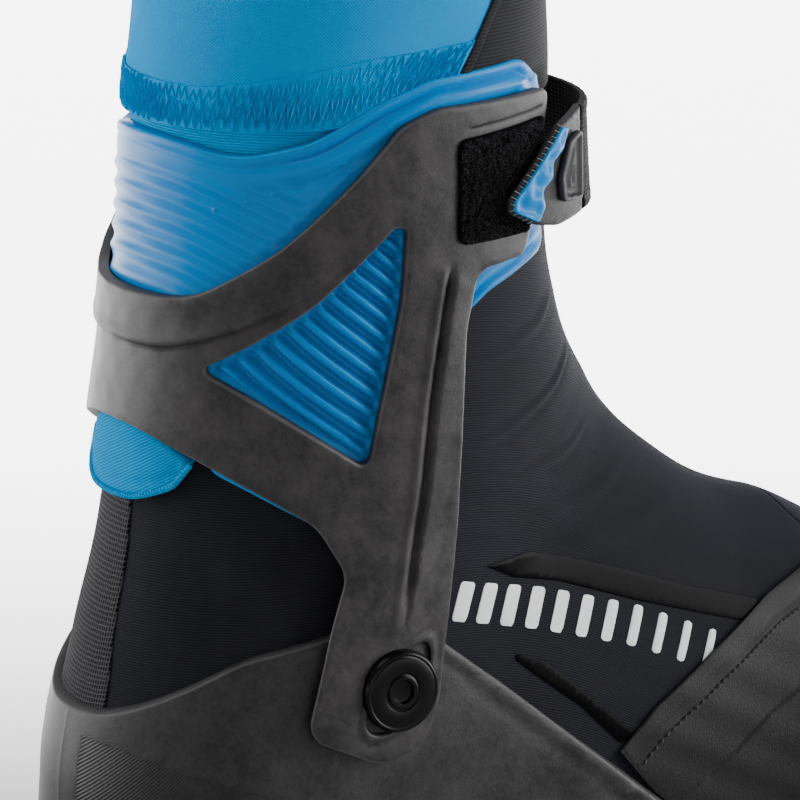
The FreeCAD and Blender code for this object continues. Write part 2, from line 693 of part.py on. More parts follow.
# ---- gaiter -------------------------------------------------------------------------
SLIDER_Z = 237.0
SLIDER_LENGTH, SLIDER_WIDTH = 9.0, 7.6
PULL_LENGTH, PULL_WIDTH = 15.0, 4.4
GAITER_EDGE = [(-49, 246), (-72, 206)]        # where the blue knit meets the black front
HEM_LINE = [(-FAR, 203), (-122, 203.2, 20), (-105, 206, 20), (-92, 211, 10)]
HEM_HEIGHT = 8.0


def gaiter_zone(rear):
    (top_x, top_z), (low_x, low_z) = GAITER_EDGE
    if rear:
        return side_prism(
            [(-FAR, top_z)] + HEM_LINE + [(-71, 216), (low_x + 5.9, 216), (top_x, top_z)]
        )
    return side_prism(
        [(top_x + 0.2, top_z), (low_x + 6.1, 216), (-50, 216.8, 6), (-36, 210), (0, 208), (0, top_z)]
    )


def gaiter():
    wall = layer(GAITER).common(box((-FAR, -80, 190), (0, 80, SHAFT_TOP)))
    save("gaiter_rear", biggest(wall.common(gaiter_zone(True))))
    slider_room = strip(-75.5, -30, ZIP_PHI, SLIDER_WIDTH / 2 + 0.9, (-0.4, 3.8))
    front = wall.common(gaiter_zone(False)).cut(slider_room)
    save("gaiter_front", *[s for s in front.Solids if s.Volume > 50])
    hem = [(-FAR, 203.3 + HEM_HEIGHT)] + [(p[0], p[1] + 0.2) for p in HEM_LINE]
    hem += [(-84, 215), (-84, 215.2), (-92, 211.3 + HEM_HEIGHT), (-122, 203.3 + HEM_HEIGHT)]
    save("gaiter_hem", biggest(layer(TRIM).common(side_prism(hem))))
    (top_x, top_z), (low_x, low_z) = GAITER_EDGE
    band = side_prism(
        [(top_x - 1.8, top_z), (low_x + 4.6, 217.4), (low_x + 8.2, 217.4), (top_x + 1.8, top_z)]
    )
    band = layer(TRIM).common(band).common(box((-FAR, -80, 190), (0, 80, SHAFT_TOP)))
    save("gaiter_binding", *band.Solids)


gaiter()

# ---- zip slider ---------------------------------------------------------------------


def slider_place(shape):
    """From a local frame (x out of the surface, y across, z up) to the zip."""
    at = form_point(ANKLE_Z - SLIDER_Z, ZIP_PHI, ZIP[1])
    out = form_point(ANKLE_Z - SLIDER_Z, ZIP_PHI, ZIP[1] + 5) - at
    turn = math.degrees(math.atan2(out.y, out.x))
    shape.rotate(V(0, 0, 0), V(0, 0, 1), turn)
    shape.translate(at)
    return shape


def zip_slider():
    half = SLIDER_LENGTH / 2
    body = box((0.4, -SLIDER_WIDTH / 2, -half), (2.2, SLIDER_WIDTH / 2, half))
    body = body.makeFillet(0.6, [e for e in body.Edges if abs(e.CenterOfMass.x - 2.2) < 0.1])
    bridge = box((2.2, -1.0, -3.4), (5.2, 1.0, 3.4))
    bridge = bridge.makeFillet(
        0.8, [e for e in bridge.Edges if abs(e.CenterOfMass.x - 5.2) < 0.1]
    )
    bridge = bridge.cut(box((2.1, -2, -2.3), (4.2, 2, 2.3)))
    return slider_place(body.fuse(bridge))


PULL_AXIS = (3.2, -1.2)      # out from the zip and along it, where the pull turns


def zip_pull():
    """Flat pull, its eye round the slider's bridge, hanging down at rest."""
    out, up = PULL_AXIS
    bar = Part.makeCylinder(0.7, 4.4, V(out, -2.2, up), V(0, 1, 0))
    arms = [
        box((out - 0.6, way * 1.8 - 0.5, up - 5.6), (out + 0.6, way * 1.8 + 0.5, up))
        for way in (-1, 1)
    ]
    tag = box((out - 0.7, -PULL_WIDTH / 2, up - PULL_LENGTH), (out + 0.7, PULL_WIDTH / 2, up - 5.5))
    return slider_place(bar.fuse(arms + [tag]).removeSplitter())


save("zip_slider", zip_slider())
save("zip_pull", zip_pull())

at = form_point(ANKLE_Z - SLIDER_Z, ZIP_PHI, ZIP[1])
out = (form_point(ANKLE_Z - SLIDER_Z, ZIP_PHI, ZIP[1] + 5) - at).normalize()
axis_at = at + out * PULL_AXIS[0] + V(0, 0, PULL_AXIS[1])
print("zip axis", [round(c, 3) for c in axis_at], "out", [round(c, 4) for c in out])
corner = [form_point(ANKLE_Z - 190, -phi, 9.9) for phi in range(0, 60, 2)]
corner = min(corner, key=lambda p: abs(p.x - STRAP_CORNER_X))
print("tab corner", [round(c, 2) for c in corner])
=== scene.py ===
import bpy
import math
import numpy as np
from mathutils import Matrix, Vector
from mathutils.geometry import delaunay_2d_cdt


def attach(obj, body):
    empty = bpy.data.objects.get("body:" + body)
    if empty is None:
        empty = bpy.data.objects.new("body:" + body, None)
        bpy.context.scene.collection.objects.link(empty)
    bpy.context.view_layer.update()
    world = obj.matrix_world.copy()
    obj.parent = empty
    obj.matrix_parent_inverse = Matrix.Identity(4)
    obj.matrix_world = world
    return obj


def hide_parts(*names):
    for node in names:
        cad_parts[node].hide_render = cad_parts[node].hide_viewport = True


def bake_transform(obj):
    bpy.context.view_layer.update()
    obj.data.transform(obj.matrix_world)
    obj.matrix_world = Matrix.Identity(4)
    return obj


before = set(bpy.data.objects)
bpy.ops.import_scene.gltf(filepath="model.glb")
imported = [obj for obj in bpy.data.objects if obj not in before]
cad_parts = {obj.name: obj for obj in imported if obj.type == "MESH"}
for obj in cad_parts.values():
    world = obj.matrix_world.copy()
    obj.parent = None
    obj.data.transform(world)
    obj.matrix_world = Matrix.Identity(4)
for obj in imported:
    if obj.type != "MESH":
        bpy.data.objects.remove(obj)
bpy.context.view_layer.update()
rng = np.random.default_rng(7)
MM = 0.001
SIDES = ((-1, "lateral"), (1, "medial"))
MIRROR = np.array([-1, 1])

# The outer and inner face of each layer, in mm out from the form. The form is the outer face
# of the fabric upper.
LINER = (-4.7, -7.5)
COVER = (0.0, -1.4)
BAR_PRINT = (0.22, 0.02)
STRIPE_PRINT = (0.36, 0.02)
MESH_STRIP = (0.45, 0.0)
ZIP_TAPE = (0.6, 0.05)
WRAP = (1.6, 0.3)
GAITER = (2.1, 0.3)
HEM = (2.55, 2.2)
SHELL = (2.8, 0.3)
BINDING = (2.9, 2.3)
INNER_CUFF = (3.2, 0.4)
PAD = (3.4, 0.5)
CUFF_FRAME = (6.3, 3.8)
PATCH = (7.1, 6.6)
HOOKS = (9.0, 8.0)
TAB = (10.6, 9.2)
STRAP = (10.7, 9.2)
GRIP = (11.7, 10.9)
BADGE = (12.1, 10.9)

# ---- the form of the boot, the same one as the CAD source uses, in mm ----------------
FAN_X = 35.0
FAN_Z = 170.0
TOE_START, TOE_END, TOE_CENTRE = 160.0, 204.0, 141.0
PIVOT_X, PIVOT_Z = -87.7, 78.0
STATIONS = [
    (-80, 67, 154, 38.5, 0.50, 2.1, 2.1, 0),
    (-35, 66, 159, 39, 0.50, 2.1, 2.1, 0),
    (0, 64, 161, 40, 0.50, 2.1, 2.1, 0),
    (12, 62.5, 169, 39.5, 0.50, 2.1, 2.1, 0),
    (20, 62, 181, 39, 0.50, 2.1, 2.1, 0),
    (26, 61.5, 196, 38.5, 0.52, 2.1, 2.1, 0),
    (33, 61, 217, 39.5, 0.58, 2.0, 2.2, 0),
    (38, 61.5, 227, 40, 0.64, 2.0, 2.4, 0),
    (42, 62, 225, 40, 0.68, 2.0, 2.8, 0),
    (47, 62.5, 208, 39.5, 0.70, 2.0, 3.2, 0),
    (60, 64, 175.5, 38.5, 0.70, 2.0, 4.0, 0),
    (75, 67.5, 157.5, 38.5, 0.70, 2.0, 4.0, 0),
    (90, 71.5, 152.5, 40, 0.70, 2.0, 4.0, 0),
    (110, 82, 153.5, 44.5, 0.70, 2.0, 4.0, -1),
    (135, 94, 155.5, 49, 0.68, 2.1, 4.0, -1),
    (160, 105, 156.5, 48, 0.66, 2.2, 4.0, 1),
    (180, 112.2, 156.4, 44, 0.62, 2.3, 3.5, 3),
    (193, 116, 156.6, 42, 0.58, 2.3, 3.0, 4.5),
    (204, 121, 156.5, 38, 0.55, 2.2, 2.5, 5.5),
]
TABLE = np.array(STATIONS, float)


def column_tangents(xs, ys):
    """Slopes of a curve through the stations that never overshoots them."""
    steps = np.diff(xs)
    slopes = np.diff(ys) / steps
    out = [slopes[0]]
    for i in range(1, len(steps)):
        before, after = slopes[i - 1], slopes[i]
        if before * after <= 0:
            out.append(0.0)
            continue
        w1 = 2 * steps[i] + steps[i - 1]
        w2 = steps[i] + 2 * steps[i - 1]
        out.append((w1 + w2) / (w1 / before + w2 / after))
    out.append(slopes[-1])
    return np.array(out)


TANGENTS = [column_tangents(TABLE[:, 0], TABLE[:, c]) for c in range(8)]


def gaps(points):
    """Lengths of the steps of a path."""
    return np.linalg.norm(np.diff(points, axis=0), axis=1)


def runs_of(points):
    """The way gone at each point of a path."""
    return np.concatenate([[0], np.cumsum(gaps(points))])


def places_at(at, run, points):
    """Points of a path where the way gone is at."""
    return np.stack([np.interp(at, run, points[:, k]) for k in range(points.shape[1])], -1)


def unit(rows, least=1e-9):
    return rows / np.maximum(np.linalg.norm(rows, axis=1)[:, None], least)


def chunks(count, size):
    return [slice(first, first + size) for first in range(0, count, size)]


def station_value(c, s):
    xs, ys, m = TABLE[:, 0], TABLE[:, c], TANGENTS[c]
    s = np.clip(s, xs[0], xs[-1])
    k = np.clip(np.searchsorted(xs, s, side="right") - 1, 0, len(xs) - 2)
    h = xs[k + 1] - xs[k]
    t = (s - xs[k]) / h
    return (
        (2 * t**3 - 3 * t**2 + 1) * ys[k]
        + (t**3 - 2 * t**2 + t) * h * m[k]
        + (3 * t**2 - 2 * t**3) * ys[k + 1]
        + (t**3 - t**2) * h * m[k + 1]
    )


def section(s, d):
    """Near and far radius, half width, widest share, the two exponents and the shift."""
    near, far, half, mid, top_n, low_n, shift = (station_value(c, s) for c in range(1, 8))
    near = near - d
    far = far + d
    half = half + d
    u = np.clip((s - TOE_START) / (TOE_END - TOE_START), 0, 1)
    low = np.sqrt(np.maximum(1 - u**3.5, 0))
    near = TOE_CENTRE - (TOE_CENTRE - near) * low
    far = np.where(s > TOE_START, TOE_CENTRE + (far - TOE_CENTRE) * low, far)
    near = np.where(s > TOE_START, near, station_value(1, s) - d)
    half = half * np.maximum(1 - u**2.4, 0) ** (1 / 2.2)
    return near, far, half, mid, top_n, low_n, shift


def surface(s, phi, d):
    """Points of the form. phi in degrees: 0 front or top, 90 medial, -90 lateral, 180 rear."""
    s = np.asarray(s, float)
    phi = np.asarray(phi, float)
    d = np.asarray(d, float)
    near, far, half, mid, top_n, low_n, shift = section(s, d)
    c, sn = np.cos(np.radians(phi)), np.sin(np.radians(phi))
    n = np.where(c >= 0, top_n, low_n)
    length = far - near
    widest = near + mid * length
    reach = np.abs(c) ** (2 / n)
    radius = np.where(c >= 0, widest - mid * length * reach, widest + (1 - mid) * length * reach)
    y = shift + np.sign(sn) * half * np.abs(sn) ** (2 / n)
    angle = np.radians(np.clip(s, 0, 90))
    ahead = np.maximum(s - 90, 0) * (1 + d / (TOE_END - 90))
    x = FAN_X + ahead - radius * np.cos(angle)
    z = FAN_Z + np.maximum(-s, 0) - radius * np.sin(angle)
    return np.stack([x, y, z], -1)


def side_to_form(x, z, d):
    """(station, phi from 0 to 180, q) of a side-view point; q over 1 lies off the form."""
    x = np.asarray(x, float)
    z = np.asarray(z, float)
    fan = np.degrees(np.arctan2(FAN_Z - z, FAN_X - x))
    ahead = 90 + (x - FAN_X) / (1 + d / (TOE_END - 90))
    s = np.where(z >= FAN_Z, FAN_Z - z, np.where(x >= FAN_X, ahead, np.clip(fan, 0, 90)))
    near, far, _, mid, top_n, low_n, _ = section(s, d)
    angle = np.radians(np.clip(s, 0, 90))
    r = np.where(
        s <= 0,
        FAN_X - x,
        np.where(s >= 90, FAN_Z - z, (FAN_X - x) * np.cos(angle) + (FAN_Z - z) * np.sin(angle)),
    )
    length = far - near
    widest = near + mid * length
    front = r < widest
    with np.errstate(divide="ignore", invalid="ignore"):
        q = np.where(front, (widest - r) / (mid * length), (r - widest) / ((1 - mid) * length))
    n = np.where(front, top_n, low_n)
    c = np.clip(q, 0, 1) ** (n / 2)
    phi = np.degrees(np.arccos(c))
    return s, np.where(front, phi, 180 - phi), q, front


# ---- the unwrapped sheet: U round the section, V down the side, both in mm ------------
S_GRID = np.concatenate([np.linspace(-80, 200, 561)[:-1], 204 - 4 * np.linspace(1, 0, 60) ** 2.5])
PHI_GRID = np.linspace(0, 180, 241)


def make_tables():
    side = surface(S_GRID, np.full_like(S_GRID, 100.0), 0.0)
    run = runs_of(side)
    grid = surface(S_GRID[:, None], PHI_GRID[None, :], 0.0)
    step = np.linalg.norm(np.diff(grid, axis=1), axis=2)
    front = np.concatenate([np.zeros((len(S_GRID), 1)), np.cumsum(step, axis=1)], axis=1)
    return run, front


V_RUN, FRONT_RUN = make_tables()
REAR_RUN = FRONT_RUN[:, -1:] - FRONT_RUN


def to_sheet(s, phi, rear):
    """phi is signed, lateral negative. U starts at the rear or the front centre line."""
    s = np.asarray(s, float)
    phi = np.asarray(phi, float)
    v = np.interp(s, S_GRID, V_RUN)
    row = np.clip(np.interp(s, S_GRID, np.arange(len(S_GRID))), 0, len(S_GRID) - 1.001)
    col = np.clip(np.abs(phi) / (PHI_GRID[1] - PHI_GRID[0]), 0, len(PHI_GRID) - 1.001)
    i, j = row.astype(int), col.astype(int)
    a, b = row - i, col - j
    t = REAR_RUN if rear else FRONT_RUN
    u = (1 - a) * ((1 - b) * t[i, j] + b * t[i, j + 1])
    u = u + a * ((1 - b) * t[i + 1, j] + b * t[i + 1, j + 1])
    return np.stack([np.sign(phi) * u, v], -1)


def from_sheet(uv, rear):
    u, v = uv[:, 0], uv[:, 1]
    s = np.interp(v, V_RUN, S_GRID)
    row = np.clip(np.interp(s, S_GRID, np.arange(len(S_GRID))), 0, len(S_GRID) - 1.001)
    i = row.astype(int)
    a = (row - i)[:, None]
    table = REAR_RUN if rear else FRONT_RUN
    phi = np.empty(len(u))
    for part in chunks(len(u), 4000):
        runs = (1 - a[part]) * table[i[part]] + a[part] * table[i[part] + 1]
        if rear:
            runs = runs[:, ::-1]
        want = np.minimum(np.abs(u[part]), runs[:, -1])
        k = np.clip((runs < want[:, None]).sum(1) - 1, 0, runs.shape[1] - 2)
        rows = np.arange(len(want))
        low, high = runs[rows, k], runs[rows, k + 1]
        at = k + np.clip((want - low) / np.maximum(high - low, 1e-9), 0, 1)
        angle = at * (PHI_GRID[1] - PHI_GRID[0])
        phi[part] = 180 - angle if rear else angle
    return s, np.where(u < 0, -phi, phi)


# ---- outlines -----------------------------------------------------------------------
def rounded(points, closed, step=0.6):
    """Straight runs joined by tangent arcs, as points about step apart."""
    pts = [np.array(p[:2], float) for p in points]
    want = [p[2] if len(p) > 2 else 0.0 for p in points]
    n = len(pts)
    pieces = []
    for i in range(n):
        here = pts[i]
        if want[i] <= 0 or (not closed and i in (0, n - 1)):
            pieces.append([here])
            continue
        to_a, to_b = pts[i - 1] - here, pts[(i + 1) % n] - here
        la, lb = np.linalg.norm(to_a), np.linalg.norm(to_b)
        ua, ub = to_a / la, to_b / lb
        turn = math.pi - math.acos(float(np.clip(ua @ ub, -1, 1)))
        if turn < 0.01:
            pieces.append([here])
            continue
        reach = min(want[i] * math.tan(turn / 2), 0.45 * min(la, lb))
        radius = reach / math.tan(turn / 2)
        bis = (ua + ub) / np.linalg.norm(ua + ub)
        centre = here + bis * radius / math.cos(turn / 2)
        start = here + ua * reach - centre
        end = here + ub * reach - centre
        count = max(3, int(radius * turn / step) + 1)
        a0 = math.atan2(start[1], start[0])
        sweep = math.atan2(
            start[0] * end[1] - start[1] * end[0], start[0] * end[0] + start[1] * end[1]
        )
        angles = [a0 + sweep * k / count for k in range(count + 1)]
        pieces.append([centre + radius * np.array([math.cos(a), math.sin(a)]) for a in angles])
    chain = [p for piece in pieces for p in piece]
    if closed:
        chain.append(chain[0])
    out = [chain[0]]
    for p in chain[1:]:
        gap = np.linalg.norm(p - out[-1])
        if gap < 1e-6:
            continue
        parts = max(1, int(gap / step + 0.5))
        start = out[-1]
        out += [start + (p - start) * k / parts for k in range(1, parts + 1)]
    if closed:
        out.pop()
    return np.array(out)


def side_path(points, d, rear=True, closed=False, step=0.6):
    """Side-view points as a lateral path on the sheet; what lies off the form is cut.

    A third number of a point is the radius of its corner. d is how far out from the form the
    points are seen.
    """
    path = rounded(points, closed, step)
    s, phi, q, _ = side_to_form(path[:, 0], path[:, 1], d)
    inside = q <= 1.0
    out = []
    for i in range(len(path)):
        if inside[i]:
            out.append((s[i], phi[i]))
        j = i + 1
        if j >= len(path) or inside[i] == inside[j]:
            continue
        low, high = (path[i], path[j]) if inside[i] else (path[j], path[i])
        for _ in range(30):
            middle = (low + high) / 2
            if side_to_form(middle[0], middle[1], d)[2] <= 1.0:
                low = middle
            else:
                high = middle
        edge_s, _, _, at_front = side_to_form(low[0], low[1], d)
        out.append((float(edge_s), 0.0 if at_front else 180.0))
    places = np.array(out)
    return to_sheet(places[:, 0], -np.maximum(places[:, 1], 1e-9), rear)


def station_at(v):
    return float(np.interp(v, V_RUN, S_GRID))


def to_centre(path):
    """The path with both ends put on the centre line."""
    path[0, 0] = path[-1, 0] = 0.0
    return path


def both_sides(path):
    """A lateral path from centre line to centre line, closed over the medial side."""
    path = to_centre(path)
    return np.concatenate([path, mirrored(path)[1:-1]])


def mirrored(path):
    return path[::-1] * MIRROR


def across(path):
    """A path that starts on the centre line, carried on over both sides."""
    path[0, 0] = 0.0
    return np.concatenate([mirrored(path)[:-1], path])


def resample(path, step, closed=True):
    """The path in even steps, with its sharp corners kept."""
    pts = np.concatenate([path, path[:1]]) if closed else path
    run = runs_of(pts)
    at = np.linspace(0, run[-1], max(6, int(run[-1] / step)) + 1)
    at = at[:-1] if closed else at
    keep = places_at(at, run, pts)
    for i in range(1, len(pts) - 1):
        a, b = pts[i] - pts[i - 1], pts[i + 1] - pts[i]
        la, lb = np.linalg.norm(a), np.linalg.norm(b)
        if la > 1e-9 and lb > 1e-9 and a @ b / (la * lb) < 0.9:
            keep[np.argmin(np.abs(at - run[i]))] = pts[i]
    return keep


def to_segments(points, a, b):
    """Distance, signed side and place along of each point from the nearest segment."""
    best = np.full(len(points), 1e18)
    side = np.zeros(len(points))
    along = np.zeros(len(points))
    ab = b - a
    length = np.maximum((ab**2).sum(1), 1e-12)
    runs = np.concatenate([[0], np.cumsum(np.sqrt(length))])[:-1]
    for part in chunks(len(points), max(1, int(3e6 / max(len(a), 1)))):
        ap = points[part][:, None, :] - a[None]
        t = np.clip((ap * ab[None]).sum(2) / length[None], 0, 1)
        gap = ap - t[..., None] * ab[None]
        dist = (gap**2).sum(2)
        k = dist.argmin(1)
        rows = np.arange(len(k))
        best[part] = dist[rows, k]
        side[part] = np.sign(ab[k, 0] * ap[rows, k, 1] - ab[k, 1] * ap[rows, k, 0])
        along[part] = runs[k] + t[rows, k] * np.sqrt(length[k])
    return np.sqrt(best), side, along


def line_distance(uv, path):
    return to_segments(uv, path[:-1], path[1:])


def loop_edges(loops):
    """Starts and ends of all the loops' edges."""
    return np.concatenate(loops), np.concatenate([np.roll(loop, -1, axis=0) for loop in loops])


def edge_distance(points, loops):
    return to_segments(points, *loop_edges(loops))[0]


def inside_loops(points, loops):
    """True for each point inside the loops; a loop within a loop is a hole."""
    count = np.zeros(len(points), int)
    for loop in loops:
        x1, y1 = loop[:, 0], loop[:, 1]
        x2, y2 = np.roll(x1, -1), np.roll(y1, -1)
        for part in chunks(len(points), 3000):
            px, py = points[part, 0][:, None], points[part, 1][:, None]
            cross = (y1 > py) != (y2 > py)
            with np.errstate(divide="ignore", invalid="ignore"):
                at = (x2 - x1) * (py - y1) / (y2 - y1) + x1
            count[part] += (cross & (px < at)).sum(1)
    return count % 2 == 1


def apart(points, others, least):
    """True for each point at least that far from all the others."""
    good = np.ones(len(points), bool)
    for part in chunks(len(points), 2000):
        near = ((points[part][:, None, :] - others[None]) ** 2).sum(2).min(1)
        good[part] = near > least**2
    return good


def beside(path, offsets, step=0.5):
    """Rows of points along a path at these distances to its side."""
    path = resample(path, step, closed=False)
    way = unit(np.gradient(path, axis=0))
    normal = np.stack([-way[:, 1], way[:, 0]], -1)
    return np.concatenate([path + normal * k for k in offsets])


def both(points):
    """The same points on both sides of the boot."""
    return np.concatenate([points, points * MIRROR])


def signed(uv, path, toward):
    """Distance from a path, positive on the side of the point toward, and place along it."""
    dist, side, along = line_distance(uv, path)
    want = line_distance(np.array([toward]), path)[1][0]
    return dist * side * want, along


def loop_inset(loop, amount, keep_inside):
    way = unit(np.roll(loop, -1, axis=0) - np.roll(loop, 1, axis=0))
    normal = np.stack([-way[:, 1], way[:, 0]], -1)
    normal[~inside_loops(loop + normal * 0.02, keep_inside)] *= -1
    return loop + normal * amount


def triangulate(loops, inner_points):
    """Triangles of the area inside the loops, with the loops as edges."""
    verts, edges = [], []
    for loop in loops:
        first = len(verts)
        n = len(loop)
        verts += [Vector((float(p[0]), float(p[1]))) for p in loop]
        edges += [(first + i, first + (i + 1) % n) for i in range(n)]
    verts += [Vector((float(p[0]), float(p[1]))) for p in inner_points]
    out_verts, _, faces, _, _, _ = delaunay_2d_cdt(verts, edges, [], 0, 1e-5, False)
    points = np.array([(v[0], v[1]) for v in out_verts])
    tris = np.array([f for f in faces if len(f) == 3], int)
    centres = points[tris].mean(1)
    tris = tris[inside_loops(centres, loops)]
    a, b, c = points[tris[:, 0]], points[tris[:, 1]], points[tris[:, 2]]
    area = (b[:, 0] - a[:, 0]) * (c[:, 1] - a[:, 1]) - (b[:, 1] - a[:, 1]) * (c[:, 0] - a[:, 0])
    tris = tris[np.abs(area) > 1e-9]
    area = area[np.abs(area) > 1e-9]
    tris[area < 0] = tris[area < 0][:, ::-1]
    return points, tris


def hex_points(loops, cell, clear):
    """A grid of even triangles inside the loops, clear of their edges."""
    low = np.min([loop.min(0) for loop in loops], axis=0)
    high = np.max([loop.max(0) for loop in loops], axis=0)
    rows = np.arange(low[1], high[1], cell * 0.866)
    cols = np.arange(low[0], high[0], cell)
    grid = np.array([(x + (cell / 2 if k % 2 else 0), y) for k, y in enumerate(rows) for x in cols])
    grid = grid[inside_loops(grid, loops)]
    return grid[edge_distance(grid, loops) > clear]


def smoothstep(x, low, high):
    t = np.clip((x - low) / (high - low), 0, 1)
    return t * t * (3 - 2 * t)


def add_values(mesh, name, values):
    mesh.attributes.new(name, "FLOAT", "POINT").data.foreach_set("value", np.asarray(values, np.float32))


def mesh_object(name, verts, faces, uvs, mat, smooth=0.7, edge=None):
    """uvs is one pair per vertex; edge is 1 on an edge that the finish paints lighter, partly as wear and
    partly as a painted highlight, and 0 away from it.
    """
    mesh = bpy.data.meshes.new(name)
    mesh.from_pydata([tuple(v) for v in np.asarray(verts) * MM], [], [tuple(f) for f in faces])
    layer = mesh.uv_layers.new(name="UVMap")
    corners = np.empty(len(mesh.loops), np.int32)
    mesh.loops.foreach_get("vertex_index", corners)
    layer.data.foreach_set("uv", np.asarray(uvs, np.float32)[corners].ravel())
    if edge is not None:
        add_values(mesh, "edge", edge)
    mesh.polygons.foreach_set("use_smooth", np.ones(len(mesh.polygons), bool))
    mesh.update()
    mesh.set_sharp_from_angle(angle=smooth)
    obj = bpy.data.objects.new(name, mesh)
    bpy.context.scene.collection.objects.link(obj)
    mesh.materials.append(mat)
    return obj


def panel(name, loops, mat, outer, inner, rear=True, cell=1.2, rim=0.5, relief=None,
          inner_cell=4.5, uv=None, fix=None, inner_relief=None, smooth=0.75, extra=None, mask=None):
    """A closed sheet of material on the form, between offsets inner and outer.

    relief adds to the outer face and takes sheet points, their places and their distance from
    the edge. extra are points for fine detail. mask says where the face is hatched.
    """
    step = min(cell * 0.8, 1.0)
    loops = [resample(loop, step) for loop in loops]
    rings = []
    for share in (0.3, 1.0):
        for loop in loops:
            ring = loop_inset(loop, rim * share, loops)
            good = inside_loops(ring, loops) & (edge_distance(ring, loops) > rim * share * 0.85)
            rings.append(ring[good])
    grid = hex_points(loops, cell, rim + cell * 0.45)
    if extra is not None:
        extra = extra[inside_loops(extra, loops)]
        extra = extra[edge_distance(extra, loops) > rim + 0.1]
        grid = grid[apart(grid, extra, cell * 0.5)]
        rings.append(extra)
    points, tris = triangulate(loops, np.concatenate(rings + [grid]))
    s, phi = from_sheet(points, rear)
    dist = edge_distance(points, loops)
    drop = np.where(dist < rim, rim - np.sqrt(np.maximum(rim**2 - (rim - dist) ** 2, 0)), 0.0)
    height = np.full(len(points), float(outer))
    base = surface(s, phi, height)
    if relief is not None:
        height = height + relief(points, base, dist)
    height = np.maximum(height - drop, inner + 0.15)
    top = surface(s, phi, height)
    low_points, low_tris = triangulate(loops, hex_points(loops, inner_cell, inner_cell * 0.5))
    low_s, low_phi = from_sheet(low_points, rear)
    low_height = np.full(len(low_points), float(inner))
    if inner_relief is not None:
        low_height = low_height + inner_relief(low_points, surface(low_s, low_phi, 0.0), None)
    bottom = surface(low_s, low_phi, low_height)
    if fix is not None:
        bottom = fix(bottom)
    place = {(round(p[0], 3), round(p[1], 3)): k for k, p in enumerate(low_points)}
    rim_edges = dict.fromkeys((int(tri[i]), int(tri[(i + 1) % 3])) for tri in tris for i in range(3))
    shift = len(points)
    walls = []
    for i, j in rim_edges:
        if (j, i) in rim_edges:
            continue
        low_i, low_j = (place.get((round(points[k][0], 3), round(points[k][1], 3))) for k in (i, j))
        if low_i is not None and low_j is not None:
            walls.append((j, i, low_i + shift, low_j + shift))
    low_faces = [tuple(int(k) + shift for k in tri[::-1]) for tri in low_tris]
    faces = [tuple(int(k) for k in tri) for tri in tris] + low_faces + walls
    first, second, third = tris[len(tris) // 2]
    normal = np.cross(top[second] - top[first], top[third] - top[first])
    out = surface(s[first], phi[first], height[first] + 1) - top[first]
    if normal @ out < 0:
        faces = [face[::-1] for face in faces]
    texture = np.concatenate([points, low_points])
    if uv is not None:
        texture = np.concatenate([uv(points, base), uv(low_points, surface(low_s, low_phi, outer))])
    blank = np.zeros(len(bottom))
    # 1 at the rim, which the finish paints lighter: partly wear, partly a painted highlight
    edge = np.concatenate([1 - smoothstep(dist, 0.1, 0.1 + 0.9 * rim), blank])
    obj = mesh_object(name, np.concatenate([top, bottom]), faces, texture, mat, smooth, edge)
    if mask is not None:
        add_values(obj.data, "hatch", np.concatenate([mask(points), blank]))
    return obj


def tube(name, paths, radius, mat, sides=6, closed=False, flat=1.0):
    """Round cords along lists of points in mm; one object."""
    verts, faces, uvs = [], [], []
    for path in paths:
        path = np.asarray(path, float)
        n = len(path)
        way = np.roll(path, -1, axis=0) - np.roll(path, 1, axis=0) if closed else np.gradient(path, axis=0)
        way = unit(way)
        up = np.array([0.0, 0.0, 1.0])
        if abs(way[0] @ up) > 0.9:
            up = np.array([1.0, 0.0, 0.0])
        first = len(verts)
        side = np.cross(way[0], up)
        side /= np.linalg.norm(side)
        for i in range(n):
            side = side - way[i] * (side @ way[i])
            side /= max(np.linalg.norm(side), 1e-9)
            other = np.cross(way[i], side)
            for k in range(sides):
                a = 2 * math.pi * k / sides
                verts.append(path[i] + radius * (math.cos(a) * side + flat * math.sin(a) * other))
                uvs.append((k / sides, i * 0.5))
        rows = n if closed else n - 1
        for i in range(rows):
            for k in range(sides):
                k2 = (k + 1) % sides
                i2 = (i + 1) % n
                faces.append((first + i * sides + k, first + i * sides + k2,
                              first + i2 * sides + k2, first + i2 * sides + k))
        if not closed:
            faces.append(tuple(first + k for k in range(sides))[::-1])
            faces.append(tuple(first + (n - 1) * sides + k for k in range(sides)))
    return mesh_object(name, np.array(verts), faces, uvs, mat, 1.2)


def lathe(name, profile, side, mat, turns=96):
    """Profile of (radius, y) turned round the pivot axis; side -1 lateral, 1 medial."""
    verts, faces, uvs = [], [], []
    n = len(profile)
    for k in range(turns):
        a = 2 * math.pi * k / turns
        for r, y in profile:
            verts.append((PIVOT_X + r * math.cos(a), side * y, PIVOT_Z + r * math.sin(a)))
            uvs.append((r * math.cos(a), r * math.sin(a)))
    for k in range(turns):
        k2 = (k + 1) % turns
        for i in range(n - 1):
            face = (k * n + i, k * n + i + 1, k2 * n + i + 1, k2 * n + i)
            faces.append(face if side > 0 else face[::-1])
    first = len(verts)
    verts.append((PIVOT_X, side * profile[0][1], PIVOT_Z))
    verts.append((PIVOT_X, side * profile[-1][1], PIVOT_Z))
    uvs += [(0, 0), (0, 0)]
    for k in range(turns):
        k2 = (k + 1) % turns
        top = (first, k * n, k2 * n)
        low = (first + 1, k2 * n + n - 1, k * n + n - 1)
        faces.append(top if side > 0 else top[::-1])
        faces.append(low if side > 0 else low[::-1])
    return mesh_object(name, np.array(verts), faces, uvs, mat, 0.5)


# ---- finishes -----------------------------------------------------------------------
def srgb(r, g, b):
    """A colour as seen, 0 to 255, as linear light."""
    out = []
    for c in (r, g, b):
        c = c / 255.0
        out.append(c / 12.92 if c <= 0.04045 else ((c + 0.055) / 1.055) ** 2.4)
    return (*out, 1.0)


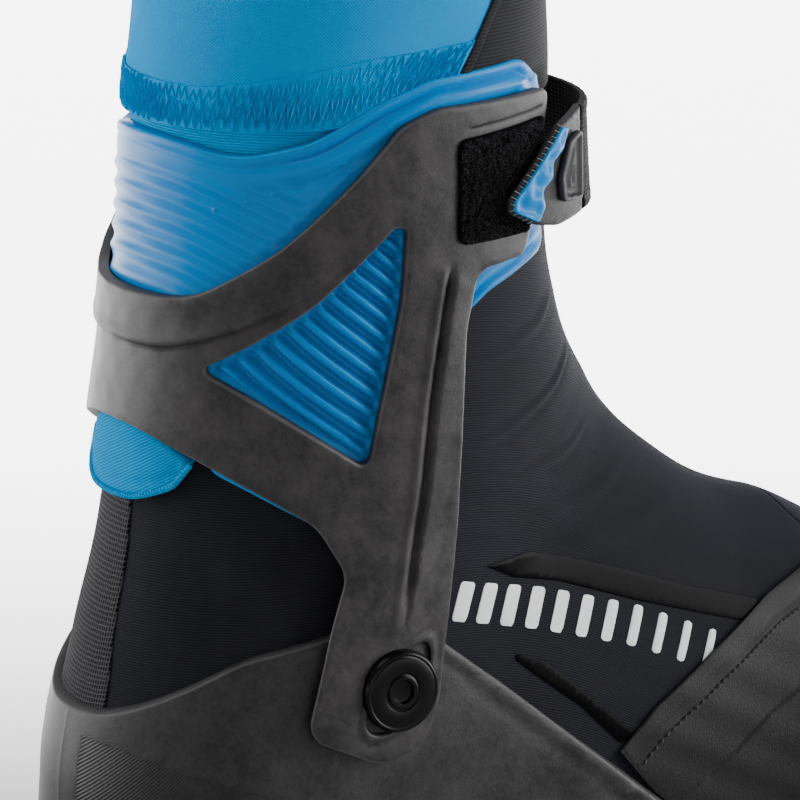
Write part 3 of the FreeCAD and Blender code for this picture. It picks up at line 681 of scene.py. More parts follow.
class Finish:
    """A node material and short ways to build it."""

    def __init__(self, name):
        self.mat = bpy.data.materials.new(name)
        self.mat.use_nodes = True
        self.tree = self.mat.node_tree
        self.shader = self.tree.nodes["Principled BSDF"]

    def node(self, kind, **values):
        n = self.tree.nodes.new(kind)
        for key, value in values.items():
            setattr(n, key, value)
        return n

    def link(self, a, b):
        self.tree.links.new(a, b)

    def set(self, **values):
        names = {
            "rough": "Roughness", "metal": "Metallic", "sheen": "Sheen Weight",
            "sheen_rough": "Sheen Roughness", "spec": "Specular IOR Level", "sheen_tint": "Sheen Tint",
        }
        for key, value in values.items():
            self.shader.inputs[names[key]].default_value = value

    def math(self, op, a, b=None, c=None):
        n = self.node("ShaderNodeMath", operation=op)
        for i, value in enumerate((a, b, c)):
            if value is None:
                continue
            if isinstance(value, (int, float)):
                n.inputs[i].default_value = value
            else:
                self.link(value, n.inputs[i])
        return n.outputs[0]

    def add(self, a, b):
        return self.math("ADD", a, b)

    def times(self, a, b):
        return self.math("MULTIPLY", a, b)

    def sine(self, way, pitch):
        return self.math("SINE", self.times(way, 2 * math.pi / pitch))

    def uv(self):
        uv = self.node("ShaderNodeUVMap", uv_map="UVMap")
        split = self.node("ShaderNodeSeparateXYZ")
        self.link(uv.outputs[0], split.inputs[0])
        return uv.outputs[0], split.outputs[0], split.outputs[1]

    def place(self):
        return self.node("ShaderNodeTexCoord").outputs["Object"]

    def noise(self, vector, scale, detail=3.0, rough=0.55):
        n = self.node("ShaderNodeTexNoise")
        n.inputs["Scale"].default_value = scale
        n.inputs["Detail"].default_value = detail
        n.inputs["Roughness"].default_value = rough
        self.link(vector, n.inputs["Vector"])
        return n.outputs["Fac"]

    def ramp(self, fac, stops):
        n = self.node("ShaderNodeValToRGB")
        n.color_ramp.elements[0].position = stops[0][0]
        n.color_ramp.elements[0].color = stops[0][1]
        n.color_ramp.elements[1].position = stops[-1][0]
        n.color_ramp.elements[1].color = stops[-1][1]
        for position, colour in stops[1:-1]:
            n.color_ramp.elements.new(position).color = colour
        self.link(fac, n.inputs[0])
        return n.outputs[0]

    def spread(self, fac, low, high, start=0.0):
        n = self.node("ShaderNodeMapRange")
        n.inputs["From Min"].default_value = start
        n.inputs["To Min"].default_value = low
        n.inputs["To Max"].default_value = high
        self.link(fac, n.inputs["Value"])
        return n.outputs[0]

    def colour(self, output):
        self.link(output, self.shader.inputs["Base Color"])

    def rough(self, output):
        self.link(output, self.shader.inputs["Roughness"])

    def bump(self, height, strength, distance):
        n = self.node("ShaderNodeBump")
        n.inputs["Strength"].default_value = strength
        n.inputs["Distance"].default_value = distance
        self.link(height, n.inputs["Height"])
        self.link(n.outputs[0], self.shader.inputs["Normal"])

    def mix(self, fac, a, b):
        n = self.node("ShaderNodeMix", data_type="RGBA")
        for socket, value in ((n.inputs[0], fac), (n.inputs[6], a), (n.inputs[7], b)):
            if isinstance(value, (tuple, float, int)):
                socket.default_value = value
            else:
                self.link(value, socket)
        return n.outputs[2]


# the fine lines on the heel shell: one for each HATCH_PITCH mm of V plus HATCH_SLOPE times U
HATCH_PITCH, HATCH_SLOPE = 0.86, 0.45


def mottled(name, dark, light, size, rough, bump=0.15, metal=0.0, spec=0.5, contrast=0.25,
            cloud=0.35, edge_wear_and_highlight=None, hatched=False):
    """Cloudy plastic, rubber or metal. size is the fine grain in mm; the edge colour, where given, makes the
    edges lighter, partly as wear and partly as a painted highlight.
    """
    f = Finish(name)
    f.set(metal=metal, spec=spec)
    at = f.place()
    fine = f.noise(at, 1000.0 / size, 4.0, 0.65)
    wide = f.noise(at, 90.0, 3.0, 0.6)
    clouds = f.add(f.times(fine, 1 - cloud), f.times(wide, cloud))
    colour = f.ramp(clouds, [(0.5 - contrast, dark), (0.5 + contrast, light)])
    # lighter edges: partly wear, partly a painted highlight along the rims
    if edge_wear_and_highlight is not None:
        edge = f.node("ShaderNodeAttribute", attribute_name="edge").outputs["Fac"]
        colour = f.mix(f.times(edge, f.spread(clouds, 0.1, 1.0)), colour, edge_wear_and_highlight)
    f.rough(f.spread(clouds, rough[0], rough[1]))
    height = f.add(f.noise(at, 3500.0, 2.0), f.times(fine, 0.8))
    if hatched:
        _, u, v = f.uv()
        wave = f.sine(f.add(v, f.times(f.math("ABSOLUTE", u), HATCH_SLOPE)), HATCH_PITCH)
        where = f.node("ShaderNodeAttribute", attribute_name="hatch").outputs["Fac"]
        line = f.times(f.math("MULTIPLY_ADD", wave, 0.5, 0.5), where)
        # painted shade: the hatch lines' grooves are coloured toward the dark tone, and they are cut into the
        # bump as well
        colour = f.mix(f.times(line, 0.75), colour, dark)
        height = f.math("SUBTRACT", height, f.times(line, 2.5))
    f.colour(colour)
    f.bump(height, bump, 0.0004)
    return f.mat


def cloth(name, rough, sheen, sheen_rough, spec):
    f = Finish(name)
    f.set(rough=rough, sheen=sheen, sheen_rough=sheen_rough, spec=spec)
    return f


def dyed(f, uv, height, share, grain, patches, fuzz_bump, stops, depth):
    """Colour and bump of a cloth: its weave with some fuzz and wide uneven patches."""
    fuzz = f.noise(uv, grain, 3.0, 0.7)
    tone = f.add(f.times(height, share), f.times(fuzz, 0.35))
    tone = f.add(tone, f.times(f.noise(uv, patches, 2.0), 0.3))
    f.colour(f.ramp(tone, stops))
    f.bump(f.add(height, f.times(fuzz, fuzz_bump)), 0.8, depth * 0.001)
    return f.mat


def ribbed(name, dark, light, pitch, slope=0.0, depth=0.12, rough=0.8, sheen=0.25, wobble=0.25,
           sheen_tint=None, yarn=0.0, spec=0.2):
    """Cloth with fine ribs, one for each pitch mm of V plus slope times U."""
    f = cloth(name, rough, sheen, 0.5, spec)
    if sheen_tint is not None:
        f.set(sheen_tint=sheen_tint)
    uv, u, v = f.uv()
    row = f.add(f.add(v, f.times(u, slope)), f.times(f.noise(uv, 0.35, 2.0), wobble))
    height = f.spread(f.sine(row, pitch), 0.0, 1.0, -1.0)
    if yarn > 0:
        height = f.add(height, f.times(f.sine(u, yarn), 0.25))
    return dyed(f, uv, height, 0.45, 5.0, 0.06, 0.6, [(0.25, dark), (0.85, light)], depth)


def knitted(name, dark, light, pitch, depth=0.12, rough=0.85, sheen=0.3, contrast=0.22, spec=0.2):
    """Bird's-eye knit: staggered small bumps."""
    f = cloth(name, rough, sheen, 0.4, spec)
    uv, u, v = f.uv()
    wander = f.times(f.noise(uv, 0.3, 2.0), 0.3)
    eye = f.times(f.sine(f.add(u, wander), pitch), f.sine(f.add(v, wander), pitch))
    stops = [(0.53 - contrast, dark), (0.53 + contrast, light)]
    return dyed(f, uv, f.spread(eye, 0.0, 1.0, -1.0), 0.4, 4.0, 0.05, 0.8, stops, depth)


def netted(name, hole, yarn, across, along):
    """Open mesh: yarns both ways round dark holes. across and along are the hole sizes in mm."""
    f = Finish(name)
    f.set(rough=0.8, spec=0.15)
    uv, u, v = f.uv()
    wander = f.times(f.noise(uv, 0.5, 2.0), 0.5)
    lines = []
    for way, pitch in ((u, across), (v, along)):
        wave = f.math("COSINE", f.times(f.add(way, wander), 2 * math.pi / pitch))
        lines.append(f.math("POWER", f.math("MULTIPLY_ADD", wave, 0.5, 0.5), 2.5))
    net = f.math("MAXIMUM", lines[0], lines[1])
    tone = f.times(net, f.spread(f.noise(uv, 1.6, 3.0, 0.7), 0.35, 1.35))
    f.colour(f.ramp(tone, [(0.12, hole), (0.8, yarn)]))
    f.bump(net, 0.9, 0.0003)
    return f.mat


def tones(dark, light):
    """Two colours as seen, 0 to 255, as linear light."""
    return srgb(*dark), srgb(*light)


# The edge colours of BLUE, GREY, SHELL_GREY, TAB_GREY and WRAP_SKIN make the rims lighter: partly wear,
# partly a painted highlight.
BLUE = mottled("satin_blue_plastic", *tones((0, 106, 172), (0, 122, 188)), 6.0, (0.26, 0.36), 0.04,
               contrast=0.4, spec=0.15, edge_wear_and_highlight=srgb(0, 146, 206))
GREY = mottled("cloudy_grey_plastic", *tones((11, 10, 11), (60, 57, 58)), 1.4, (0.3, 0.56), 0.2, spec=0.28,
               contrast=0.17, cloud=0.62, edge_wear_and_highlight=srgb(92, 89, 90))
SHELL_GREY = mottled("shell_grey_plastic", *tones((9, 8, 9), (54, 52, 53)), 1.2, (0.3, 0.56), 0.2,
                     spec=0.28, contrast=0.17, cloud=0.6, edge_wear_and_highlight=srgb(84, 82, 82), hatched=True)
BLACK_GLOSS = mottled("black_gloss_plastic", *tones((4, 4, 5), (7, 7, 8)), 4.0, (0.22, 0.3), 0.02, spec=0.16)
SOLE_BLACK = mottled("sole_black_plastic", *tones((18, 18, 19), (30, 30, 31)), 1.5, (0.4, 0.55), spec=0.3)
RUBBER = mottled("outsole_black_rubber", *tones((14, 14, 14), (26, 26, 25)), 0.8, (0.65, 0.85), 0.3, spec=0.3)
FOAM = mottled("dark_foam", *tones((24, 24, 26), (40, 40, 43)), 0.7, (0.8, 0.95), 0.5, spec=0.2)
STEEL = mottled("brushed_steel", *tones((150, 150, 152), (190, 190, 193)), 1.0, (0.2, 0.35), 0.05, metal=1.0)
NYLON = mottled("black_nylon", *tones((18, 18, 20), (30, 30, 32)), 1.2, (0.35, 0.5), 0.1)
TAB_GREY = mottled("tab_grey_rubber", *tones((12, 12, 14), (36, 35, 39)), 0.5, (0.42, 0.58), 0.35, spec=0.2,
                   edge_wear_and_highlight=srgb(62, 61, 65))
WRAP_SKIN = mottled("wrap_synthetic", *tones((12, 12, 13), (31, 30, 31)), 0.7, (0.38, 0.54), 0.3, spec=0.2,
                    edge_wear_and_highlight=srgb(84, 83, 84))
TOE_SKIN = mottled("toe_rubber", *tones((22, 22, 23), (38, 38, 39)), 0.7, (0.45, 0.6), 0.35)
GLOSS_PRINT = mottled("black_gloss_print", *tones((3, 3, 4), (6, 6, 8)), 2.0, (0.26, 0.34), 0.05, spec=0.035)
PALE_PRINT = mottled("pale_grey_print", *tones((214, 216, 218), (236, 237, 238)), 1.0, (0.4, 0.5), 0.1)
GREY_AND_LIT_LOOP_YARN = mottled("grey_loop_yarn_and_highlight", *tones((16, 16, 19), (58, 58, 63)), 0.6, (0.7, 0.9), 0.2, spec=0.15)
CYAN_THREAD = mottled("cyan_thread", *tones((0, 132, 192), (0, 168, 222)), 0.4, (0.75, 0.9), 0.3, spec=0.04)
DARK_THREAD = mottled("dark_thread", *tones((22, 22, 24), (66, 66, 70)), 0.4, (0.6, 0.8), 0.3, spec=0.3)
PALE_THREAD = mottled("pale_thread", *tones((90, 94, 98), (150, 152, 154)), 0.4, (0.6, 0.8), 0.3)
BLACK_METAL = mottled("blackened_zip_metal", *tones((40, 40, 42), (70, 70, 73)), 1.0, (0.25, 0.4), 0.1,
                      metal=0.8)
BOARD = mottled("pressed_board_fibre", *tones((120, 98, 70), (150, 126, 94)), 1.2, (0.8, 0.95), 0.4)
BLACK_KNIT = ribbed("navy_black_ribbed_knit", *tones((13, 13, 17), (37, 37, 44)), 0.58, 0.0, 0.10, 0.8, 0.05,
                    sheen_tint=srgb(150, 155, 185), spec=0.12)
FRONT_KNIT = ribbed("black_collar_knit", *tones((14, 14, 17), (36, 36, 41)), 0.8, 0.0, 0.12, 0.8, 0.05,
                    spec=0.12)
COLLAR_KNIT = ribbed("cyan_collar_knit", *tones((0, 112, 172), (0, 162, 218)), 0.62, 0.0, 0.14, 0.95, 0.0,
                     spec=0.04)
PAD_KNIT = ribbed("cyan_pad_knit", *tones((0, 104, 164), (0, 150, 208)), 0.55, -0.36, 0.12, 0.95, 0.0,
                  spec=0.04)
WEBBING = ribbed("black_webbing", *tones((4, 4, 5), (20, 20, 22)), 0.9, 0.0, 0.25, 0.85, 0.05, yarn=1.4)
TAPE = ribbed("zip_tape_weave", *tones((8, 8, 9), (24, 24, 27)), 0.5, 0.0, 0.1, 0.85, 0.05)
BLUE_KNIT = knitted("cyan_gaiter_knit", *tones((0, 116, 176), (0, 148, 208)), 0.72, 0.10, 0.95, 0.0,
                    spec=0.04, contrast=0.34)
LINING = knitted("charcoal_lining_mesh", *tones((20, 21, 23), (48, 50, 54)), 1.5, 0.25, 0.9, 0.15)
LOOP_BLACK = knitted("black_loop_backing", *tones((3, 3, 4), (10, 10, 12)), 0.7, 0.3, 0.95, 0.0, spec=0.05)
INSOLE_CLOTH = knitted("insole_cloth", *tones((14, 46, 76), (30, 78, 120)), 1.2, 0.2, 0.9, 0.1)
MESH_KNIT = netted("black_open_mesh", *tones((3, 3, 5), (74, 73, 76)), 0.85, 0.85)

CAD_FINISH = {
    "sole_plate": SOLE_BLACK, "outsole_heel": RUBBER, "outsole_forefoot": RUBBER, "toe_insert": SOLE_BLACK,
    "toe_bar": STEEL, "midsole": FOAM, "pivot_post_lateral": STEEL, "pivot_post_medial": STEEL,
    "pivot_bush_lateral": NYLON, "pivot_bush_medial": NYLON, "strap_rivet": STEEL, "zip_slider": BLACK_METAL,
    "zip_pull": BLACK_METAL, "tongue": FOAM, "lace": DARK_THREAD, "lace_loops": WEBBING, "lace_lock": NYLON,
    "lasting_board": BOARD, "heel_counter": NYLON, "insole": INSOLE_CLOTH,
}
for node_name, finish in CAD_FINISH.items():
    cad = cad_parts[node_name]
    cad.data.materials.clear()
    cad.data.materials.append(finish)

# the stretches across the cuff's joint, in front and behind, that bent() is given for the pieces that cross
# it
FLEX_FRONT = ((0.040, 0, 0.105), (-0.030, 0, 0.190))
FLEX_REAR = ((-0.06, 0, 0.1043), (-0.0708, 0, 0.1334))


def enter(obj, slot, nodes):
    """Hides the CAD nodes that the piece stands for; slot is not used."""
    if nodes:
        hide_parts(*nodes)


def on(obj, body, slot, *nodes):
    """A piece that rides on one body."""
    enter(obj, slot, nodes)
    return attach(obj, body)


def bent(obj, slot, where, *nodes):
    """A piece that crosses the cuff's joint: its place is baked into its mesh and it rides on no body."""
    enter(obj, slot, nodes)
    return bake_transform(obj)


def fold(uv):
    """The same points on the lateral side."""
    out = uv.copy()
    out[:, 0] = -np.abs(out[:, 0])
    return out


def rear_station(z):
    """Station of the rear centre line at height z."""
    s = np.linspace(-75, 60, 1351)
    heights = surface(s, np.full_like(s, 180.0), 0.0)[:, 2]
    return float(np.interp(-z, -heights, s))


def bulge(x, centre, width):
    """A soft bump of height 1 at centre."""
    return np.exp(-(((x - centre) / width) ** 2))


# an x beyond the form, for outlines that run on to the centre line
FAR = 170.0

# ---- cuff frame: the cloudy grey arms, heel band, legs and blocks ---------------------
FRAME_OUTLINE = [
    (-FAR, 166), (-128, 166, 12), (-112, 178.5, 30), (-96, 194, 25), (-86, 204.5, 10),
    (-77, 207.8, 10), (-43, 208.3, 2.5), (-51, 178, 4), (-53.5, 172.3, 3), (-67, 171, 5),
    (-70, 158, 14), (-71, 115, 60), (-77, 72, 30), (-82, 63.5, 8), (-92, 61, 12),
    (-110.5, 69.5, 5), (-104, 92, 60), (-99.5, 105, 7), (-106, 116.5, 14), (-131, 133, 30),
    (-138, 138, 12), (-FAR, 138),
]
WINDOW_OUTLINE = [
    (-127, 150.8, 1.5), (-106, 165.5, 60), (-88, 182.8, 1.6), (-85.2, 182, 1.2),
    (-86.5, 166, 60), (-94.3, 128.6, 2.0),
]
FRAME_STEP = [(-FAR, 152), (-131, 155, 10), (-119, 161, 20), (-112, 165, 20), (-105, 170, 20), (-92, 183)]
LEG_GROOVE = [(-74, 174), (-76, 164, 10), (-79, 143, 40), (-81, 121, 40), (-84, 103, 40), (-86.5, 90)]
BLOCK_LINE = [(-69, 202.6), (-46.5, 204.4)]


def pivot_place(d):
    s, phi, _, _ = side_to_form(np.array([PIVOT_X]), np.array([PIVOT_Z]), d)
    return s, -phi


def side_loop(outline, d, way=-1, rear=False, step=0.6):
    """The closed outline on the lateral side, way -1, or the medial side."""
    loop = side_path(outline, d, rear=rear, closed=True, step=step)
    return loop if way < 0 else mirrored(loop)


def on_sheet(s, phi, rear=True):
    """One point of the sheet."""
    return to_sheet([s], [phi], rear)[0]


def ears(points):
    """The frame's inner face stands clear of the pivot bush and the shell."""
    out = np.abs(points[:, 1])
    more = np.clip(43.2 - out, 0, 2.2) * (1 - smoothstep(points[:, 2], 96, 112)) * (out > 20)
    return np.stack([points[:, 0], np.sign(points[:, 1]) * (out + more), points[:, 2]], -1)


def frame_piece():
    d = CUFF_FRAME[0]
    loop = both_sides(side_path(FRAME_OUTLINE, d))
    window = side_path(WINDOW_OUTLINE, d, closed=True)
    step = side_path(FRAME_STEP, d)
    groove = side_path(LEG_GROOVE, d)
    block = side_path(BLOCK_LINE, d)
    above, behind = on_sheet(-10.0, -150.0), on_sheet(20.0, -60.0)
    centre = to_sheet(*pivot_place(d), True)[0]
    rings = []
    for radius in (9.3, 9.65, 9.95, 10.4, 11.2, 12.0):
        a = np.linspace(0, 2 * math.pi, int(2 * math.pi * radius / 0.5), endpoint=False)
        rings.append(centre + radius * np.stack([np.cos(a), np.sin(a)], -1))
    beside_groove = (-4.0, -3.2, -2.5, -1.9, -1.3, -0.8, -0.4, 0, 0.4, 0.8, 1.3, 2.0)
    extra = both(np.concatenate([
        beside(step, (-1.2, -0.5, -0.2, 0.1, 0.4, 0.9, 1.6)), beside(groove, beside_groove),
        beside(block, (-0.6, -0.3, 0, 0.3, 0.6)), *rings,
    ]))
    groove_length, step_length = gaps(groove).sum(), gaps(step).sum()

    def relief(uv, base, dist):
        f = fold(uv)
        sd, along = signed(f, step, above)
        fade = 1 - smoothstep(along, step_length * 0.62, step_length * 0.97)
        drop = 1.0 * (1 - smoothstep(sd, -0.45, 0.2)) * smoothstep(sd, -24, -2) * fade
        lift = 0.3 * bulge(sd, 0.9, 0.9) * fade
        gd, at = signed(f, groove, behind)
        share = at / groove_length
        ends = smoothstep(share, 0.0, 0.06) * (1 - smoothstep(share, 0.8, 1.0))
        cut = 1.2 * bulge(gd, 0, 0.4 + 0.45 * share) * ends
        ridge = 0.6 * bulge(gd, -1.8 - 1.2 * share, 0.8 + 0.4 * share) * ends
        leg = (0.75 * smoothstep(gd, 0.3, 1.6) - 0.15 * np.clip(gd, 0, 7)) * ends
        line = 0.3 * bulge(line_distance(f, block)[0], 0, 0.26)
        r = np.hypot(f[:, 0] - centre[0], f[:, 1] - centre[1])
        sink = 1.05 * (1 - smoothstep(r, 9.62, 9.98))
        bead = 0.28 * bulge(r, 10.7, 0.55)
        hollow = 0.22 * bulge(r, 12.3, 0.8)
        mottle = 0.05 * np.sin(uv[:, 0] * 0.9 + 2 * np.sin(uv[:, 1] * 0.31)) * np.sin(uv[:, 1] * 0.7)
        return -drop + lift - cut + ridge + leg - line - sink + bead - hollow + mottle

    return panel("cuff_frame_moulding", [loop, window, mirrored(window)], GREY, *CUFF_FRAME, True, 0.95, 0.55,
                 relief, fix=ears, extra=extra, smooth=0.9)


on(frame_piece(), "cuff", "frame_plastic", "cuff_frame")

# ---- inner cuff: satin blue, ribbed at the back and in the window ---------------------
CUFF_OUTLINE = [
    (-FAR, 201.5), (-128, 201, 12), (-118, 197.5, 14), (-104, 201.5, 20), (-90, 209.5, 20),
    (-78, 213.8, 20), (-51, 215.5, 7), (-43.2, 209, 5), (-48.6, 186, 20), (-42, 172, 4),
    (-62, 165, 12), (-73, 158, 10), (-84, 131, 30), (-101, 113.6, 6), (-124, 127.5, 4),
    (-127, 139.5, 3), (-FAR, 139.5),
]
CUFF_RIM = CUFF_OUTLINE[:8]
FLANGE_LINE = [(-40, 172), (-49, 169.5, 8), (-62, 165, 12), (-71, 159)]
# how the ribs behind and in the window climb toward the front, and the small pips between them
CUFF_SLOPE = 0.5
DIMPLE_PLACES = (-121, -116, -111.5, -107, -101.5, -97.5)
DIMPLE_RING = np.array([(math.cos(k * math.pi / 4), math.sin(k * math.pi / 4)) for k in range(8)])
WINDOW_SLOPE = 0.78


def cuff_piece():
    d = INNER_CUFF[0]
    loop = both_sides(side_path(CUFF_OUTLINE, d))
    rim = side_path(CUFF_RIM, d)
    flange = side_path(FLANGE_LINE, d)
    window = side_path(WINDOW_OUTLINE, CUFF_FRAME[0], closed=True)
    frame_top = side_path(FRAME_OUTLINE[:7], CUFF_FRAME[0])
    dimples = [side_path([(x, 240.5 + 0.45 * x), (x + 0.1, 240.5 + 0.45 * x)], d)[0] for x in DIMPLE_PLACES]
    beside_rim = (1.9, 2.3, 2.7, 3.2, 3.8, 4.6, 5.4, 6.2, 7.0, 7.8, 8.6, 9.4)
    beside_flange = (0.5, 1.1, 1.7, 2.3, 2.9, 3.5, 4.2, 5.0, 5.8)
    extra = both(np.concatenate([
        beside(rim, beside_rim), beside(rim, [-t for t in beside_rim]), beside(flange, beside_flange),
        beside(flange, [-t for t in beside_flange]), hex_points([window], 0.5, 0.25),
        *(at + r * DIMPLE_RING for at in dimples for r in (0.0001, 0.35, 0.7, 1.1)),
    ]))

    def relief(uv, base, dist):
        f = fold(uv)
        out = np.abs(uv[:, 0])
        t = line_distance(f, rim)[0]
        side = smoothstep(out, 26, 48)
        end = 1 - smoothstep(base[:, 0], -53, -46)
        groove = (0.25 + 0.65 * side) * bulge(t, 2.6, 0.55) * end
        roll = 0.85 * bulge(t, 5.4, 1.7) * side * end
        second = 0.5 * bulge(t, 8.2, 0.7) * side * end
        lip = 0.3 * bulge(t, 1.0, 0.9) * side * end
        row = uv[:, 1] - CUFF_SLOPE * (np.sqrt((out - 16) ** 2 + 64) + out - 16) / 2
        wave = np.sin(2 * math.pi * row / 4.7)
        back = (0.36 * wave + 0.1 * wave**2) * (1 - smoothstep(out, 26, 50)) * smoothstep(t, 5, 9)
        bead = 0.4 * bulge(line_distance(f, frame_top)[0], 2.2, 0.6) * smoothstep(out, 20, 40)
        in_window = inside_loops(f, [window])
        deep = edge_distance(f, [window]) * in_window
        tilted = np.sin(2 * math.pi * (uv[:, 1] - WINDOW_SLOPE * out) / 4.0)
        ribs = (2.3 * smoothstep(tilted, -0.75, 0.6) - 1.7) * smoothstep(deep, 0.2, 2.0)
        swell = 0.8 * smoothstep(deep, 0, 8)
        fd = line_distance(f, flange)[0]
        edge = -0.7 * bulge(fd, 2.9, 0.6) + 0.35 * bulge(fd, 1.2, 0.8) + 0.6 * bulge(fd, 5.0, 1.2)
        edge = edge * (1 - smoothstep(base[:, 0], -50, -43))
        pips = 0.0
        for at in dimples:
            pips = pips + 0.35 * bulge(np.hypot(f[:, 0] - at[0], f[:, 1] - at[1]), 0, 0.45)
        return -groove + roll - second + lip + (back + bead) * (~in_window) + ribs + swell + edge + pips

    return panel("inner_cuff_moulding", [loop], BLUE, *INNER_CUFF, True, 0.95, 0.6, relief, extra=extra,
                 smooth=1.0)


on(cuff_piece(), "cuff", "cuff_plastic", "cuff_inner")

# ---- fabric of the upper --------------------------------------------------------------
# the zip's line round the section, in degrees, and half the width of its tape
ZIP_PHI = 24.0
ZIP_HALF = 3.4
UPPER_LATERAL = [
    (FAR, 214), (-60, 214, 4), (-92, 214), (-92, 20), (62, 20), (58, 60, 10), (36, 96, 4), (36, 170),
]
VAMP = [(36.2, 170), (36.2, 96, 4), (58.2, 60, 10), (62.2, 20), (140, 20), (140, 170)]
UPPER_REAR = [(-FAR, 150), (-80, 150), (-80, 20), (-FAR, 20)]


def zip_edge(first, last, away):
    """Points beside the zip line between two stations, in front-centred sheet units."""
    s = np.linspace(first, last, int(abs(last - first) / 0.8) + 2)
    path = to_sheet(s, np.full_like(s, ZIP_PHI), False)
    path[:, 0] += away
    return path


def cloth_uv(uv, base):
    """Rows that lie level behind the leg and tip forward over the instep."""
    x, z = base[:, 0], base[:, 2]
    ahead = np.maximum(x + 75, 0)
    tip = np.where(ahead < 70, 0.0052 * ahead**2, 0.0052 * 4900 + 0.728 * (ahead - 70))
    return np.stack([uv[:, 0], -(z + tip)], -1)


# wrinkles in front of the ankle: a line in the side view, its width and height in mm
WRINKLES = [
    ([(-70, 128, 0), (-52, 131, 20), (-36, 137, 20), (-24, 146)], 2.4, 0.5),
    ([(-70, 119, 0), (-50, 118, 20), (-30, 121, 20), (-18, 128)], 2.6, 0.45),
    ([(-66, 150, 0), (-54, 149, 20), (-42, 153, 10), (-33, 160)], 2.2, 0.38),
    ([(-68, 109, 0), (-46, 107, 20), (-22, 110, 20), (-8, 116)], 3.0, 0.42),
    ([(-40, 100, 0), (-20, 101, 20), (4, 104)], 3.2, 0.35),
]
REAR_FOLD = [(-121, 106), (-117, 98, 20), (-110, 90)]


def wrinkled(uv, base, dist, rear=False):
    """Soft waves in the cloth, with one fold behind or the wrinkles in front of the ankle."""
    f = fold(uv)
    x, z = base[:, 0], base[:, 2]
    out = 0.10 * np.sin(x * 0.11 + 1.3 * np.sin(z * 0.07)) * np.sin(z * 0.13)
    if rear:
        crease = line_distance(f, side_path(REAR_FOLD, 0.0))[0]
        return out + 0.7 * bulge(crease, 0, 2.4) * (x < -80)
    for path, width, high in WRINKLES:
        line = side_path(path, 0.0, rear=False)
        gap, _, along = line_distance(f, line)
        total = gaps(line).sum()
        ends = smoothstep(along, 0, total * 0.3) * (1 - smoothstep(along, total * 0.7, total))
        out = out + high * ends * (bulge(gap, 0, width) - 0.5 * bulge(gap, width * 1.6, width))
    return out


def split_at_zip(path, first, last, gap, side, cut):
    """One side's loop of a piece that the zip splits; the medial side begins past the zip's line."""
    edge = zip_edge(first, last, side * gap)
    if side < 0:
        return np.concatenate([path, edge])
    keep = mirrored(path)
    keep = keep[keep[:, 0] > zip_edge(cut, cut, gap)[0, 0] + 1.0]
    return np.concatenate([keep, edge[::-1]])


def upper_piece(side, word):
    path = to_centre(side_path(UPPER_LATERAL, 0.0, rear=False))
    loop = split_at_zip(path, station_at(path[-1, 1]), -44.0, 0.15, side, -44.0)
    return panel("upper_knit_" + word, [loop], BLACK_KNIT, *COVER, False, 1.9, 0.35, wrinkled, uv=cloth_uv,
                 inner_cell=6.0)


def smooth_cloth(name, loop, outer, rear):
    return panel(name, [loop], BLACK_KNIT, outer, COVER[1], rear, 1.9, 0.35,
                 lambda *a: wrinkled(*a, rear=True), uv=cloth_uv, inner_cell=6.0)


for side, word in SIDES:
    bent(upper_piece(side, word), "upper_fabric", FLEX_FRONT, "upper_quarter_" + word, "ankle_panel_" + word,
         "shaft_front")
bent(smooth_cloth("upper_knit_rear", both_sides(side_path(UPPER_REAR, 0.0)), -0.15, True),
     "upper_fabric", FLEX_REAR, "upper_quarter_lateral", "upper_quarter_medial")
on(smooth_cloth("vamp_knit", both_sides(side_path(VAMP, 0.0, rear=False)), COVER[0], False),
   "boot", "upper_fabric", "upper_vamp")

# ---- mesh strip up the heel, Achilles pad ----------------------------------------------
def rear_strip_loop():
    """Half widths of the mesh strip at some heights; it reaches further round the medial side."""
    rows = [(128, 4.5, 9), (118, 5.0, 10), (108, 6.4, 11.5), (96, 7.4, 13), (87, 8.4, 14.5),
            (76, 10.0, 15.5), (68, 10.5, 16)]
    levels = [float(np.interp(rear_station(z), S_GRID, V_RUN)) for z, _, _ in rows]
    right = [(medial, v) for (_, _, medial), v in zip(rows, levels)]
    left = [(-lateral, v) for (_, lateral, _), v in zip(rows, levels)]
    return np.array(right + left[::-1])


bent(
    panel("heel_mesh", [rear_strip_loop()], MESH_KNIT, *MESH_STRIP, True, 1.2, 0.25,
          lambda uv, base, dist: 0.12 * bulge(dist, 0.8, 0.5)),
    "mesh_fabric", FLEX_REAR, "heel_mesh_strip",
)

PAD_OUTLINE = [
    (-FAR, 119.5), (-136, 119.5, 4), (-130.5, 124, 5), (-127.6, 129.3, 1.5), (-134, 136.5, 6), (-FAR, 141),
]


def pad_piece():
    loop = both_sides(side_path(PAD_OUTLINE, 4.0))

    def relief(uv, base, dist):
        return 0.9 * smoothstep(dist, 0, 6) - 0.5 * bulge(dist, 1.9, 0.5)

    return panel("achilles_pad_knit", [loop], PAD_KNIT, *PAD, True, 0.9, 0.7, relief)


def pad_piping():
    """The stitched edge: a cord round the pad's lower edge, whipped with thread."""
    s, phi = from_sheet(resample(across(side_path(PAD_OUTLINE[:4], 4.0)), 0.5, closed=False), True)
    core = surface(s, phi, np.full(len(s), 3.3))
    out = unit(surface(s, phi, np.full(len(s), 4.3)) - core)
    side = np.cross(unit(np.gradient(core, axis=0)), out)
    run = runs_of(core)
    fine = np.linspace(0, run[-1], int(run[-1] / 0.16))
    middle, outward, sideways = (places_at(fine, run, axis) for axis in (core, out, side))
    threads = []
    for start in (0.0, math.pi):
        angle = (fine * 2 * math.pi / 1.7 + start)[:, None]
        threads.append(middle + 0.55 * (np.cos(angle) * outward + np.sin(angle) * sideways))
    return (tube("achilles_pad_piping", [core], 0.6, PAD_KNIT, 8),
            tube("achilles_pad_thread", threads, 0.24, CYAN_THREAD, 5))


pad = on(pad_piece(), "cuff", "pad_knit", "achilles_pad")
for piece in pad_piping():
    on(piece, "cuff", "pad_knit")

